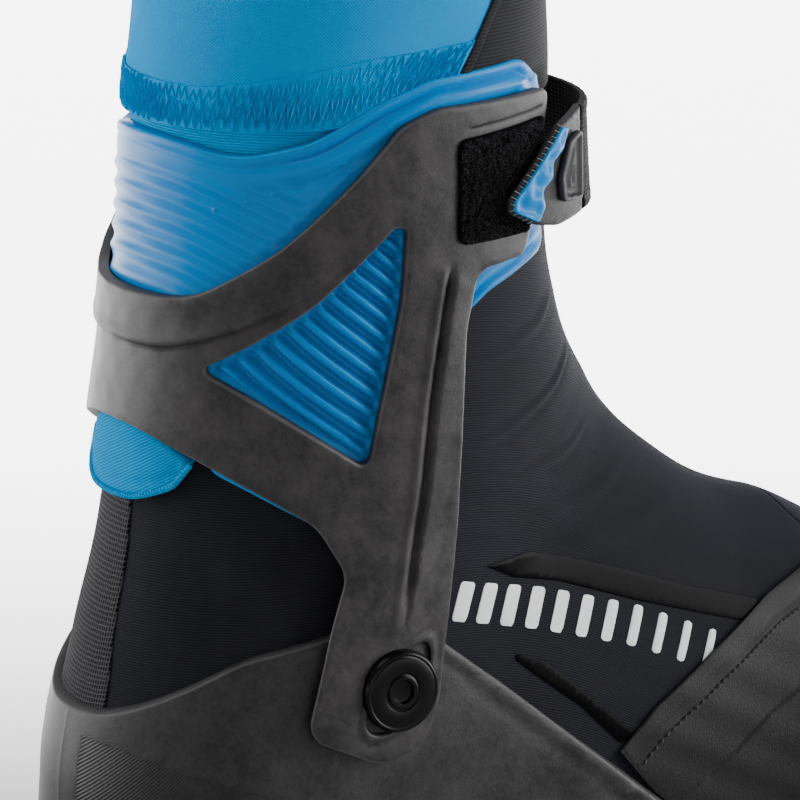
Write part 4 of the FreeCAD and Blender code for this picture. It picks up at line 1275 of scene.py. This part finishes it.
# ---- collar and gaiter -------------------------------------------------------------------
COLLAR_OUTLINE = [(-FAR, 216), (-70, 216), (-70, 172), (-FAR, 172)]
HEM_LINE = [(-FAR, 203), (-122, 203.2, 20), (-104, 204, 20), (-88, 205.5, 10), (-73.3, 205)]
HEM_TOP = [(-64.6, 221.5), (-92, 219.4, 20), (-122, 212.8, 20), (-FAR, 212.3)]
HEM_EDGE = [(-FAR, 203), (-122, 203.2, 20), (-104, 204, 10), (-98.5, 204.4, 4), (-90, 208.4, 12),
            (-78, 212.6, 12), (-70.2, 213)]
GAITER_REAR = HEM_LINE + [(-49.9, 244.7), (-FAR, 244.7)]
GAITER_FRONT = [(0, 205.5), (-36, 205.5), (-72.2, 205.5), (-49.1, 244.7), (0, 244.7)]

on(
    panel("collar_knit_panel", [both_sides(side_path(COLLAR_OUTLINE, 0.0))], COLLAR_KNIT, *COVER, True, 2.0,
          0.3),
    "cuff", "collar_knit", "ribbed_collar",
)


def gaiter_relief(uv, base, dist):
    soft = 0.28 * np.sin(uv[:, 0] * 0.045 + 0.9 * np.sin(uv[:, 1] * 0.09)) * np.sin(uv[:, 1] * 0.12 + 1.0)
    return soft + 0.12 * np.sin(uv[:, 0] * 0.17 + uv[:, 1] * 0.11)


def below_rim(uv, base, dist):
    """The rear panel thins out where its hem goes down behind the cuff's rim."""
    under = signed(fold(uv), side_path(CUFF_RIM, INNER_CUFF[0]), on_sheet(0.0, -100.0))[0]
    return gaiter_relief(uv, base, dist) - 1.0 * smoothstep(under, 0.2, 1.6)


on(
    panel("gaiter_rear_knit", [both_sides(side_path(GAITER_REAR, 2.2))], BLUE_KNIT, *GAITER, True, 1.6, 0.7,
          below_rim),
    "cuff", "gaiter_knit", "gaiter_rear",
)


def tucked(uv, base, dist):
    """The front panel thins out where it goes down behind the cuff."""
    behind = 1 - smoothstep(base[:, 0], -46, -38)
    return gaiter_relief(uv, base, dist) - 1.8 * behind * (1 - smoothstep(base[:, 2], 208, 213.5))


def gaiter_front_piece(side, word):
    path = to_centre(side_path(GAITER_FRONT, 2.2, rear=False))
    top, low = station_at(path[-1, 1]), station_at(path[0, 1])
    loop = split_at_zip(path, top, low, 4.7, side, top)
    return panel("gaiter_front_" + word, [loop], FRONT_KNIT, GAITER[0], 0.1, False, 1.3, 0.7, tucked)


for side, word in SIDES:
    on(gaiter_front_piece(side, word), "cuff", "front_knit", "gaiter_front")

# one layer of thread a row: its pitch in mm, and where it turns between the hem's edges
HEM_THREADS = [
    (1.0, (0.06, 0.94)), (1.15, (0.04, 0.4)), (1.4, (0.35, 0.7)), (0.9, (0.62, 0.96)), (1.1, (0.12, 0.6)),
]


def hem_threads():
    """The overlocked hem: several zigzag threads laid over each other, short and uneven."""
    low, high = side_path(HEM_EDGE, 2.4), side_path(HEM_TOP, 2.4)[::-1]
    low, high = (resample(across(path), 0.8, closed=False) for path in (low, high))
    low_run, high_run = (np.linspace(0, 1, len(path)) for path in (low, high))
    total = gaps(low).sum()
    paths = []
    for layer, (pitch, turns) in enumerate(HEM_THREADS):
        count = int(total / pitch)
        points = []
        for k in range(count):
            at = min(max((k + rng.uniform(-0.3, 0.3)) / count, 0), 1)
            share = min(max(turns[k % 2] + rng.uniform(-0.07, 0.07), 0.02), 0.98)
            a, b = places_at(at, low_run, low), places_at(at, high_run, high)
            points.append(a + (b - a) * share)
        points = np.array(points)
        dense = np.empty((len(points) * 2 - 1, 2))
        dense[0::2] = points
        dense[1::2] = (points[:-1] + points[1:]) / 2
        s, phi = from_sheet(dense, True)
        lift = np.full(len(s), 2.5 + 0.07 * layer)
        lift[1::2] += 0.16
        paths.append(surface(s, phi, lift))
    return tube("hem_overlock_threads", paths, 0.2, CYAN_THREAD, 4, flat=0.8)


HEM_BAND = HEM_EDGE + [(-65.2, 221.2), (-92, 219.2, 20), (-122, 212.6, 20), (-FAR, 212.1)]
on(
    panel("hem_band", [both_sides(side_path(HEM_BAND, 2.4))], BLUE_KNIT, *HEM, True, 1.4, 0.2,
          lambda uv, base, dist: gaiter_relief(uv, base, dist) * 0.9),
    "cuff", "gaiter_knit", "gaiter_hem",
)
on(hem_threads(), "cuff", "gaiter_knit")
EDGE_BAND = [(-50.9, 244.7), (-70.5, 212.5), (-67.6, 212.5), (-48.2, 244.7)]
for way, word in SIDES:
    band = side_loop(EDGE_BAND, 2.8, way, True)
    on(panel("gaiter_binding_" + word, [band], FRONT_KNIT, *BINDING, True, 1.0, 0.4),
       "cuff", "binding_tape", "gaiter_binding")

# ---- shells and wraps round the foot -------------------------------------------------------
WING_LINE = [(-73, 85.5, 6), (-58, 74, 20), (-17, 40, 40), (3, 24, 10), (9, 8)]
HEEL_SHELL_OUTLINE = [(-FAR, 72), (-146, 71, 6), (-121, 86, 30), (-92, 93, 14)] + WING_LINE + [(-FAR, 8)]
HATCH_TOP = [(-FAR, 70), (-146, 66, 10), (-117, 56, 10), (-96, 48, 10), (-70, 36)]
SHELL_RIDGE = [(-101, 65), (-109, 55, 20), (-118, 30)]
TOE_CAP = [(FAR, 90), (122, 90), (119, 50, 20), (108, 17.2), (FAR, 17.2)]
WRAP_OUTLINE = [
    (-25.5, 52), (-15, 61, 12), (4, 72.5, 30), (20, 81.5, 20), (38, 88, 7), (55, 79.5, 30),
    (80, 67.5, 40), (118.4, 50.5), (107.4, 17.2), (9.5, 17.2), (4, 24.5, 10), (-16.4, 41, 30),
]


def heel_shell_piece():
    d = SHELL[0]
    loop = both_sides(side_path(HEEL_SHELL_OUTLINE, d))
    hatch = side_path(HATCH_TOP, d)
    ridge = side_path(SHELL_RIDGE, d)
    wing = side_path([(-92, 93, 14)] + WING_LINE[:-1], d)
    below, ahead = on_sheet(40.0, -175.0), on_sheet(44.0, -90.0)
    # the middle of the heel is plain, from here on the lateral side to there on the medial side
    start, far_side = 6.8, 13.0
    heights = np.arange(loop[:, 1].min(), loop[:, 1].max(), 0.5)
    columns = (-0.8, -0.35, 0, 0.35, 0.8, -start - 0.3, -start + 0.3, far_side - 0.3, far_side + 0.3)
    lines = np.concatenate([beside(ridge, (-1.5, -0.6, 0, 0.6, 1.5)), beside(hatch, (-0.3, 0.3))])
    upright = [np.stack([np.full_like(heights, u), heights], -1) for u in columns]
    extra = np.concatenate([both(lines)] + upright)

    def hatched(uv):
        """1 where the shell is hatched: below a line, behind the ridge and clear of the heel's middle."""
        f = fold(uv)
        below_line = smoothstep(signed(f, hatch, below)[0], -0.3, 0.3)
        behind = 1 - smoothstep(signed(f, ridge, ahead)[0], -1.6, -0.8)
        clear = smoothstep(-uv[:, 0], start - 0.3, start + 0.3)
        clear = clear + smoothstep(uv[:, 0], far_side - 0.3, far_side + 0.3)
        return below_line * behind * clear

    def relief(uv, base, dist):
        f = fold(uv)
        crest = 0.4 * bulge(signed(f, ridge, ahead)[0], 0, 1.3)
        wd = line_distance(f, wing)[0]
        rim = 0.25 * bulge(wd, 1.4, 1.0) - 0.2 * bulge(wd, 3.6, 0.9)
        return crest + rim - 0.12 * hatched(uv) + 0.14 * bulge(uv[:, 0], 0, 0.4)

    return panel("heel_shell_moulding", [loop], SHELL_GREY, *SHELL, True, 1.35, 0.45, relief, extra=extra,
                 smooth=0.9, mask=hatched)


on(heel_shell_piece(), "boot", "shell_plastic", "heel_shell")


def toe_loop(d):
    """Top centre to lateral to the tip, mirrored; past the tip's side line it is all round."""
    path = side_path(TOE_CAP[1:], d, rear=False)
    path[0, 0] = 0.0
    last = station_at(path[-1, 1])
    s = np.concatenate([np.linspace(last, 200, 8)[1:], 204 - 4 * np.linspace(1, 0, 26)[1:-1] ** 2])
    half = np.concatenate([path, to_sheet(s, np.full_like(s, -180.0), False)])
    return np.concatenate([half, mirrored(half)[:-1]])


on(
    panel("toe_cap_moulding", [toe_loop(SHELL[0])], TOE_SKIN, *SHELL, False, 1.6, 0.7,
          lambda uv, base, dist: 0.25 * bulge(dist, 3.0, 0.8) * (base[:, 0] < 135)),
    "boot", "toe_rubber", "toe_cap",
)


WRAP_CUT = [(24, 60), (15, 55, 8), (6, 48, 8), (-4, 42, 8), (-14, 36)]


def wrap_path(points, closed=False):
    return side_path(points, WRAP[0], rear=False, closed=closed)


def wrap_piece(way, word):
    loop = side_loop(WRAP_OUTLINE, WRAP[0], way)
    top = wrap_path(WRAP_OUTLINE[:8])
    slash = wrap_path(WRAP_CUT)
    below = wrap_path([(30, 40), (31, 40)])[0]
    extra = np.concatenate([beside(slash, (-0.7, -0.2, 0.2, 0.7)),
                            beside(top, (4.6, 5.2, 5.8, -4.6, -5.2, -5.8))])
    if way > 0:
        extra = extra * MIRROR
    marks_at = [wrap_path([(20 + 12 * k, 52 - 3 * k), (20.1 + 12 * k, 52 - 3 * k)])[0] for k in range(7)]

    def relief(uv, base, dist):
        f = fold(uv)
        c, _ = signed(f, slash, below)
        layer = 0.5 * smoothstep(c, -0.15, 0.35) * (1 - smoothstep(c, 6, 30))
        marks = 0.0
        for at in marks_at:
            u, v = f[:, 0] - at[0], f[:, 1] - at[1]
            along, over = u * 0.5 + v * 0.87, -u * 0.87 + v * 0.5
            marks = marks + 0.35 * np.exp(-((along / 5.0) ** 4) - (over / 0.6) ** 2)
        ripple = 0.1 * np.sin((base[:, 0] * 0.5 + base[:, 2]) * 0.55)
        return layer - marks - 0.22 * bulge(line_distance(f, top)[0], 5.2, 0.5) + ripple

    return panel("forefoot_wrap_skin_" + word, [loop], WRAP_SKIN, *WRAP, False, 1.2, 0.35, relief,
                 extra=extra)


def wrap_stitches(way, word):
    """Short stitches in a row inside the wrap's upper edge."""
    top, whole = wrap_path(WRAP_OUTLINE[:8]), wrap_path(WRAP_OUTLINE, True)
    inset = 7.4
    line = beside(top, (inset,))
    if not inside_loops(line[len(line) // 2][None], [whole])[0]:
        line = beside(top, (-inset,))
    line = line[inside_loops(line, [whole])]
    run = runs_of(line)
    paths = []
    at = 2.0
    while at < run[-1] - 3:
        uv = places_at(np.array([at, at + 0.6, at + 1.2]), run, line)
        if way > 0:
            uv[:, 0] *= -1
        s, phi = from_sheet(uv, False)
        paths.append(surface(s, phi, np.array([1.6, 2.05, 1.6])))
        at += 2.2
    return tube("forefoot_stitches_" + word, paths, 0.3, DARK_THREAD, 5)


for way, word in SIDES:
    on(wrap_piece(way, word), "boot", "wrap_synthetic", "forefoot_wrap_" + word)
    on(wrap_stitches(way, word), "boot", "wrap_synthetic")

STRIPES = {
    "gloss_stripe_upper": [(-59, 100), (-46, 101, 4), (-26, 95, 10), (-4, 87, 10), (19, 80, 1), (13, 76, 1),
                           (0, 80, 10), (-16, 85, 10), (-38, 93, 4), (-51, 96, 2)],
    "gloss_stripe_lower": [(-55, 80, 1), (-44, 76, 3), (-20, 55, 1), (-25, 54, 1), (-35, 64, 8),
                           (-48, 74, 4)],
}
MOTIF_LOW = [(-70.5, 89.5), (-45, 83.2), (-20, 75.6), (5, 65)]
MOTIF_HIGH = [(-67.5, 98.2), (-42, 92.2), (-17, 84.4), (9, 73.4)]


def motif_bars():
    """Plain slanting bars in a row, each a skin of its own; they grow narrower toward the front."""
    low, high = rounded(MOTIF_LOW, False, 0.5), rounded(MOTIF_HIGH, False, 0.5)
    share_low, share_high = np.linspace(0, 1, len(low)), np.linspace(0, 1, len(high))
    bars = []
    for k in range(11):
        a = 0.01 + k * 0.09
        b = a + (0.055 - 0.003 * k)
        corners = [places_at(a, share_low, low), places_at(a, share_high, high),
                   places_at(b, share_high, high), places_at(b, share_low, low)]
        bars.append([(float(x), float(z), 0.8) for x, z in corners])
    return bars


def print_piece(name, word, way, outline, mat, layer, cell, rim, step, inner_cell):
    """A printed skin on the quarter, which follows the cloth's wrinkles on both faces."""
    loop = side_loop(outline, 0.3, way, step=step)
    return panel(name + "_" + word, [loop], mat, *layer, False, cell, rim, wrinkled,
                 inner_cell=inner_cell, inner_relief=wrinkled)


for way, word in SIDES:
    for name, outline in STRIPES.items():
        bent(print_piece(name, word, way, outline, GLOSS_PRINT, STRIPE_PRINT, 1.5, 0.15, 0.8, 6),
             "wrap_synthetic", FLEX_FRONT)
    for k, outline in enumerate(motif_bars()):
        bent(print_piece(f"pale_bar_{k + 1:02d}", word, way, outline, PALE_PRINT, BAR_PRINT, 1.4, 0.12,
                         0.5, 5), "wrap_synthetic", FLEX_FRONT)

# ---- strap, tab and loop patch --------------------------------------------------------------
PATCH_OUTLINE = [(-72.5, 200.5, 2.2), (-46, 202.6, 1.0), (-52.5, 177.6, 1.0), (-73, 177.2, 2.2)]
STRAP_LOW, STRAP_HIGH = 179.0, 202.5
TAB_OUTLINE = [
    (-34.2, 203), (-44, 200.4, 3), (-60.5, 186.5, 2.5), (-61, 183.4, 2), (-52, 179.5, 8),
    (-45, 178.2, 6), (-34.2, 179),
]
GRIP_OUTLINE = [
    (-43.4, 200.1, 0.6), (-60.1, 186.2, 1.2), (-60.3, 183.9, 1), (-52.6, 180.4, 1), (-50.4, 183.8, 1.5),
    (-51.4, 187.4, 1.5), (-47.4, 189.6, 1.5), (-47.6, 193, 1.5), (-43.6, 195, 1.5), (-41.0, 199.6, 0.6),
]
HOOK_OUTLINE = [(-38, 200.5, 2), (-44, 198, 2), (-57, 186, 2), (-50, 181.5, 2), (-38, 181, 2)]
BADGE_OUTLINE = [(-35.4, 198.5, 1.5), (-41.4, 196.6, 1.5), (-45.2, 189, 1.5), (-44.5, 183.6, 1.5),
                 (-36, 182.4, 1.5)]
patch_loop = side_loop(PATCH_OUTLINE, 7.2, rear=True)
on(panel("loop_patch_backing", [patch_loop], LOOP_BLACK, *PATCH, True, 1.2, 0.3),
   "cuff", "loop_pile", "loop_patch")


def pile_loops():
    """Small curls of yarn standing on the loop patch: a few grey ones everywhere, and many more toward its
    upper edge, where the grey is a painted highlight.
    """
    tries = rng.uniform(patch_loop.min(0), patch_loop.max(0), (5200, 2))
    tries = tries[inside_loops(tries, [patch_loop])]
    tries = tries[edge_distance(tries, [patch_loop]) > 0.5][:2300]
    dark, grey = [], []
    for u, v in tries:
        a = rng.uniform(0, 2 * math.pi)
        r = rng.uniform(0.22, 0.5)
        turn = np.linspace(0, rng.uniform(1.1, 1.9) * math.pi, 5)
        uv = np.stack([u + r * np.cos(turn + a), v + r * np.sin(turn + a)], -1)
        s, phi = from_sheet(uv, True)
        lift = 7.05 + rng.uniform(0.3, 0.8) * np.sin(np.linspace(0.1, math.pi - 0.1, 5))
        curl = surface(s, phi, lift)
        # painted highlight: near the patch's upper edge most curls take the pale grey yarn, as if lit
        lit = rng.random() < 0.12 + 0.6 * smoothstep(curl[0, 2], 192, 201)
        (grey if lit else dark).append(curl)
    return tube("loop_pile_dark", dark, 0.085, WEBBING, 3), tube("loop_pile_grey_and_highlight", grey, 0.085, GREY_AND_LIT_LOOP_YARN, 3)


for piece in pile_loops():
    on(piece, "cuff", "loop_pile")


def strap_loop():
    lateral = side_path([(-33, STRAP_HIGH), (-33, STRAP_LOW)], 10.8, rear=False)
    medial = side_path([(-66, STRAP_LOW), (-66, STRAP_HIGH)], 10.8, rear=False)
    medial[:, 0] *= -1
    return np.concatenate([lateral, medial])


def weave_relief(uv, base, dist):
    v = base[:, 2] - (STRAP_LOW + STRAP_HIGH) / 2
    return 0.25 * bulge(np.abs(v), 10.6, 0.7) + 0.08 * np.sin(uv[:, 0] * 1.6)


on(panel("strap_webbing_band", [strap_loop()], WEBBING, *STRAP, False, 1.3, 0.5, weave_relief),
   "cuff", "strap_webbing", "strap_band")


def tab_relief(uv, base, dist):
    return 0.22 * bulge(dist, 0.9, 0.5) + 0.05 * np.sin(uv[:, 0] * 2.2) * np.sin(uv[:, 1] * 2.0)


def grip_relief(uv, base, dist):
    along = base[:, 0] * 0.7 + base[:, 2] * 0.7
    over = base[:, 2] * 0.7 - base[:, 0] * 0.7
    return 0.55 * np.sin(along * 2 * math.pi / 6.5 + 1.1 * np.sin(over * 0.9)) * smoothstep(dist, 0.2, 1.4)


def badge_relief(uv, base, dist):
    return -0.75 * smoothstep(dist, 1.0, 1.5) + 0.5 * bulge(dist, 3.4, 0.5)


on(panel("tab_moulding", [side_loop(TAB_OUTLINE, 10.8)], TAB_GREY, *TAB, False, 0.8, 0.5, tab_relief),
   "strap_tab", "tab_rubber", "strap_tab")
on(panel("tab_grip_wave", [side_loop(GRIP_OUTLINE, 11.9)], BLUE, *GRIP, False, 0.6, 0.4, grip_relief),
   "strap_tab", "grip_rubber", "tab_grip")


def grip_stitches():
    """Overlock stitches along the grip's outer edge."""
    line = rounded([(-43.8, 201.0), (-60.6, 187.2, 2), (-61.0, 184.0, 1.5), (-55.5, 180.6)], False, 0.4)
    paths = []
    for k, (x, z) in enumerate(line[::2], 1):
        reach = 0.45 + 0.3 * (k % 3)
        pts = []
        for share, lift in ((-0.4, 10.6), (0.3, 11.2), (1.0, 11.3)):
            px = x + share * reach * 0.75
            pz = z - share * reach * 0.6 * (1 if z > 185 else -0.7)
            s, phi, _, _ = side_to_form(np.array([px]), np.array([pz]), 11.0)
            pts.append(surface(s, -phi, np.array([lift]))[0])
        paths.append(pts)
    return (tube("tab_edge_stitches_dark", paths[0::2], 0.11, DARK_THREAD, 4),
            tube("tab_edge_stitches_pale", paths[1::2], 0.09, PALE_THREAD, 4))


for piece in grip_stitches():
    on(piece, "strap_tab", "grip_rubber")


on(panel("tab_badge_frame", [side_loop(BADGE_OUTLINE, 11.7)], TAB_GREY, *BADGE, False, 0.5, 0.35,
         badge_relief), "strap_tab", "badge_rubber", "tab_badge")
on(panel("hook_patch", [side_loop(HOOK_OUTLINE, 9.0)], NYLON, *HOOKS, False, 1.2, 0.2),
   "strap_tab", "hook_plastic", "tab_hook_patch")

# ---- pivot caps -------------------------------------------------------------------------------
# (radius, distance from the boot's middle plane)
CAP_PROFILE = [
    (0.5, 46.75), (2.1, 46.75), (2.5, 46.85), (2.65, 47.15), (2.7, 47.75), (2.85, 47.9), (3.5, 47.95),
    (3.7, 47.85), (3.8, 47.6), (4.0, 47.5), (4.3, 47.52), (4.5, 47.75), (4.8, 47.85), (7.8, 47.9),
    (8.0, 47.8), (8.15, 47.68), (8.35, 47.7), (8.6, 47.8), (8.95, 47.65), (9.25, 47.25), (9.4, 46.7),
    (9.45, 46.2), (9.45, 45.5), (0.5, 45.5),
]
for side, word in SIDES:
    on(lathe("pivot_cap_screw_" + word, CAP_PROFILE, side, BLACK_GLOSS),
       "boot", "cap_plastic", "pivot_cap_" + word)


# ---- zip: tape and teeth up the front, medial of the middle -------------------------------
def zip_tape():
    s = np.linspace(-74.6, 123.5, 200)
    line = to_sheet(s, np.full_like(s, ZIP_PHI), False)
    loop = np.concatenate([line + [ZIP_HALF, 0], line[::-1] - [ZIP_HALF, 0]])
    return panel("zip_tape", [loop], TAPE, *ZIP_TAPE, False, 1.5, 0.15)


def zip_teeth():
    line = zip_edge(-74.0, 122.8, 0.0)
    run = runs_of(line)
    paths = []
    at, side = 0.5, 1
    while at < run[-1] - 0.5:
        u, v = places_at(at, run, line)
        uv = np.array([[u + side * 1.75, v], [u + side * 0.8, v], [u - side * 0.45, v]])
        s, phi = from_sheet(uv, False)
        paths.append(surface(s, phi, np.array([0.75, 0.95, 0.95])))
        side = -side
        at += 0.95
    return tube("zip_teeth", paths, 0.42, BLACK_METAL, 5, flat=0.8)


for piece, slot in ((zip_tape(), "zip_tape"), (zip_teeth(), "zip_metal")):
    bent(piece, slot, FLEX_FRONT, "zip_chain_foot", "zip_chain_ankle", "zip_chain_shaft")


# ---- lining ---------------------------------------------------------------------------------
def lining(name, stations, turns=120):
    """A closed tube of the lining between its two offsets, open at both ends."""
    phi = np.linspace(-180, 180, turns, endpoint=False)
    verts, uvs = [], []
    for d in LINER:
        for s in stations:
            verts.append(surface(np.full(turns, s), phi, np.full(turns, d)))
            u = np.sign(phi) * to_sheet(np.full(turns, s), np.abs(phi), False)[:, 0]
            uvs.append(np.stack([u, np.full(turns, np.interp(s, S_GRID, V_RUN))], -1))
    n = len(stations)
    faces = []

    def quad(a, b, c, d):
        faces.append(tuple(row * turns + column for row, column in (a, b, c, d)))

    for i in range(n - 1):
        for k in range(turns):
            k2 = (k + 1) % turns
            quad((i, k2), (i, k), (i + 1, k), (i + 1, k2))
            quad((n + i, k), (n + i, k2), (n + i + 1, k2), (n + i + 1, k))
    for i, flip in ((0, False), (n - 1, True)):
        for k in range(turns):
            k2 = (k + 1) % turns
            corners = ((i, k), (i, k2), (n + i, k2), (n + i, k))
            quad(*(corners[::-1] if flip else corners))
    return mesh_object(name, np.concatenate(verts), faces, np.concatenate(uvs), LINING, 0.8)


def lining_roll(name, turns=160):
    """The soft rolled top edge of the lining."""
    phi = np.linspace(-180, 180, turns, endpoint=False)
    path = surface(np.full(turns, -74.2), phi, np.full(turns, -6.0))
    return tube(name, [path], 1.5, LINING, 10, closed=True)


FOOT_STATIONS = np.concatenate([np.linspace(45, 196, 76), 203.4 - 7.4 * np.linspace(1, 0, 14) ** 2])
on(lining("lining_shaft", np.linspace(-74.0, -0.5, 36)), "cuff", "lining_fabric",
   "liner_shaft_lateral", "liner_shaft_medial")
on(lining_roll("lining_top_roll"), "cuff", "lining_fabric")
bent(lining("lining_ankle", np.linspace(0, 44.5, 34)), "lining_fabric", FLEX_REAR, "liner_ankle")
on(lining("lining_foot", FOOT_STATIONS), "boot", "lining_fabric", "liner_foot")

# ---- camera, floor and lights ---------------------------------------------------------------
# The camera looks at a place a little over the lateral pivot, from 30 degrees behind the side
# and 14 degrees up. At the pivot a millimetre is SCALE pixels of a PICTURE pixels wide image.
AWAY = 1.3
PICTURE, SCALE = 800.0, 4.5
scene = bpy.context.scene
azimuth, elevation = math.radians(-30), math.radians(14)
back = Vector((math.sin(azimuth) * math.cos(elevation), -math.cos(azimuth) * math.cos(elevation),
               math.sin(elevation)))
right = Vector((math.cos(azimuth), math.sin(azimuth), 0))
up = back.cross(right)
pivot = Vector((-0.0877, -0.042, 0.078))
aim = pivot + 0.0021 * right + 0.0635 * up
eye = aim + AWAY * back
lens = bpy.data.cameras.new("camera")
lens.sensor_width = 36.0
lens.lens = lens.sensor_width * AWAY / MM / (PICTURE / SCALE)
lens.clip_start = 0.01
lens.clip_end = 50.0
camera = bpy.data.objects.new("camera", lens)
camera.matrix_world = Matrix((
    (right.x, up.x, back.x, eye.x),
    (right.y, up.y, back.y, eye.y),
    (right.z, up.z, back.z, eye.z),
    (0, 0, 0, 1),
))
scene.collection.objects.link(camera)
scene.camera = camera

floor_mesh = bpy.data.meshes.new("floor")
reach = 12.0
floor_mesh.from_pydata([(-reach, -reach, 0), (reach, -reach, 0), (reach, reach, 0), (-reach, reach, 0)], [],
                       [(0, 1, 2, 3)])
floor = bpy.data.objects.new("floor", floor_mesh)
floor.location.z = -0.0003
scene.collection.objects.link(floor)
floor_paint = Finish("pale_floor")
floor_paint.shader.inputs["Base Color"].default_value = (0.55, 0.55, 0.56, 1)
floor_paint.set(rough=0.9, spec=0.1)


def floor_glow(distance, near, far, brightest):
    """Light that the floor gives off, growing with a distance."""
    glow = floor_paint.node("ShaderNodeMapRange", interpolation_type="SMOOTHSTEP")
    for socket, value in (("From Min", near), ("From Max", far), ("To Min", 0.0), ("To Max", brightest)):
        glow.inputs[socket].default_value = value
    floor_paint.link(distance, glow.inputs["Value"])
    return glow.outputs[0]


away = floor_paint.node("ShaderNodeVectorMath", operation="LENGTH")
floor_paint.link(floor_paint.place(), away.inputs[0])
behind = floor_paint.node("ShaderNodeVectorMath", operation="DOT_PRODUCT")
floor_paint.link(floor_paint.place(), behind.inputs[0])
behind.inputs[1].default_value = (-back.x, -back.y, 0)
lit = floor_paint.add(floor_glow(away.outputs["Value"], 0.5, 3.0, 2.0),
                      floor_glow(behind.outputs["Value"], -0.05, 0.5, 6.0))
floor_paint.shader.inputs["Emission Color"].default_value = (1, 1, 1, 1)
floor_paint.link(lit, floor_paint.shader.inputs["Emission Strength"])
floor_mesh.materials.append(floor_paint.mat)

# the studio: a pale band at the height of the horizon, darker overhead
world = bpy.data.worlds.new("world")
scene.world = world
world.use_nodes = True
sky = world.node_tree
ray = sky.nodes.new("ShaderNodeTexCoord")
split_ray = sky.nodes.new("ShaderNodeSeparateXYZ")
sky.links.new(ray.outputs["Generated"], split_ray.inputs[0])
band = sky.nodes.new("ShaderNodeMapRange")
band.interpolation_type = "SMOOTHSTEP"
for socket, value in (("From Min", 0.03), ("From Max", 0.16), ("To Min", 3.0), ("To Max", 0.12)):
    band.inputs[socket].default_value = value
sky.links.new(split_ray.outputs["Z"], band.inputs["Value"])
sky.links.new(band.outputs[0], sky.nodes["Background"].inputs["Strength"])
sky.nodes["Background"].inputs["Color"].default_value = (1.0, 1.0, 1.0, 1)


def soft_light(name, place, target, size, power, shape_y=None):
    data = bpy.data.lights.new(name, "AREA")
    data.energy = power
    data.size = size
    if shape_y is not None:
        data.shape = "RECTANGLE"
        data.size_y = shape_y
    obj = bpy.data.objects.new(name, data)
    way = Vector(target) - Vector(place)
    obj.matrix_world = Matrix.Translation(place) @ way.to_track_quat("-Z", "Y").to_matrix().to_4x4()
    scene.collection.objects.link(obj)
    return obj


def round_about(azimuth_deg, elevation_deg, distance):
    """A place round the shaft; azimuth 0 is on the -Y side, 90 on the +X side."""
    a, e = math.radians(azimuth_deg), math.radians(elevation_deg)
    return (-0.04 + distance * math.sin(a) * math.cos(e), -distance * math.cos(a) * math.cos(e),
            0.13 + distance * math.sin(e))


MIDDLE = (-0.04, 0, 0.14)
soft_light("left_box", round_about(-122, 14, 1.25), MIDDLE, 0.9, 13.5, 1.2)
soft_light("right_box", round_about(56, 18, 1.25), MIDDLE, 0.6, 21.0, 1.1)
soft_light("top_box", round_about(-80, 66, 1.3), MIDDLE, 0.6, 3.0)
soft_light("back_box", round_about(150, 40, 1.4), MIDDLE, 0.9, 4.5)
soft_light("front_fill", round_about(-35, 35, 1.6), MIDDLE, 0.8, 1.2)
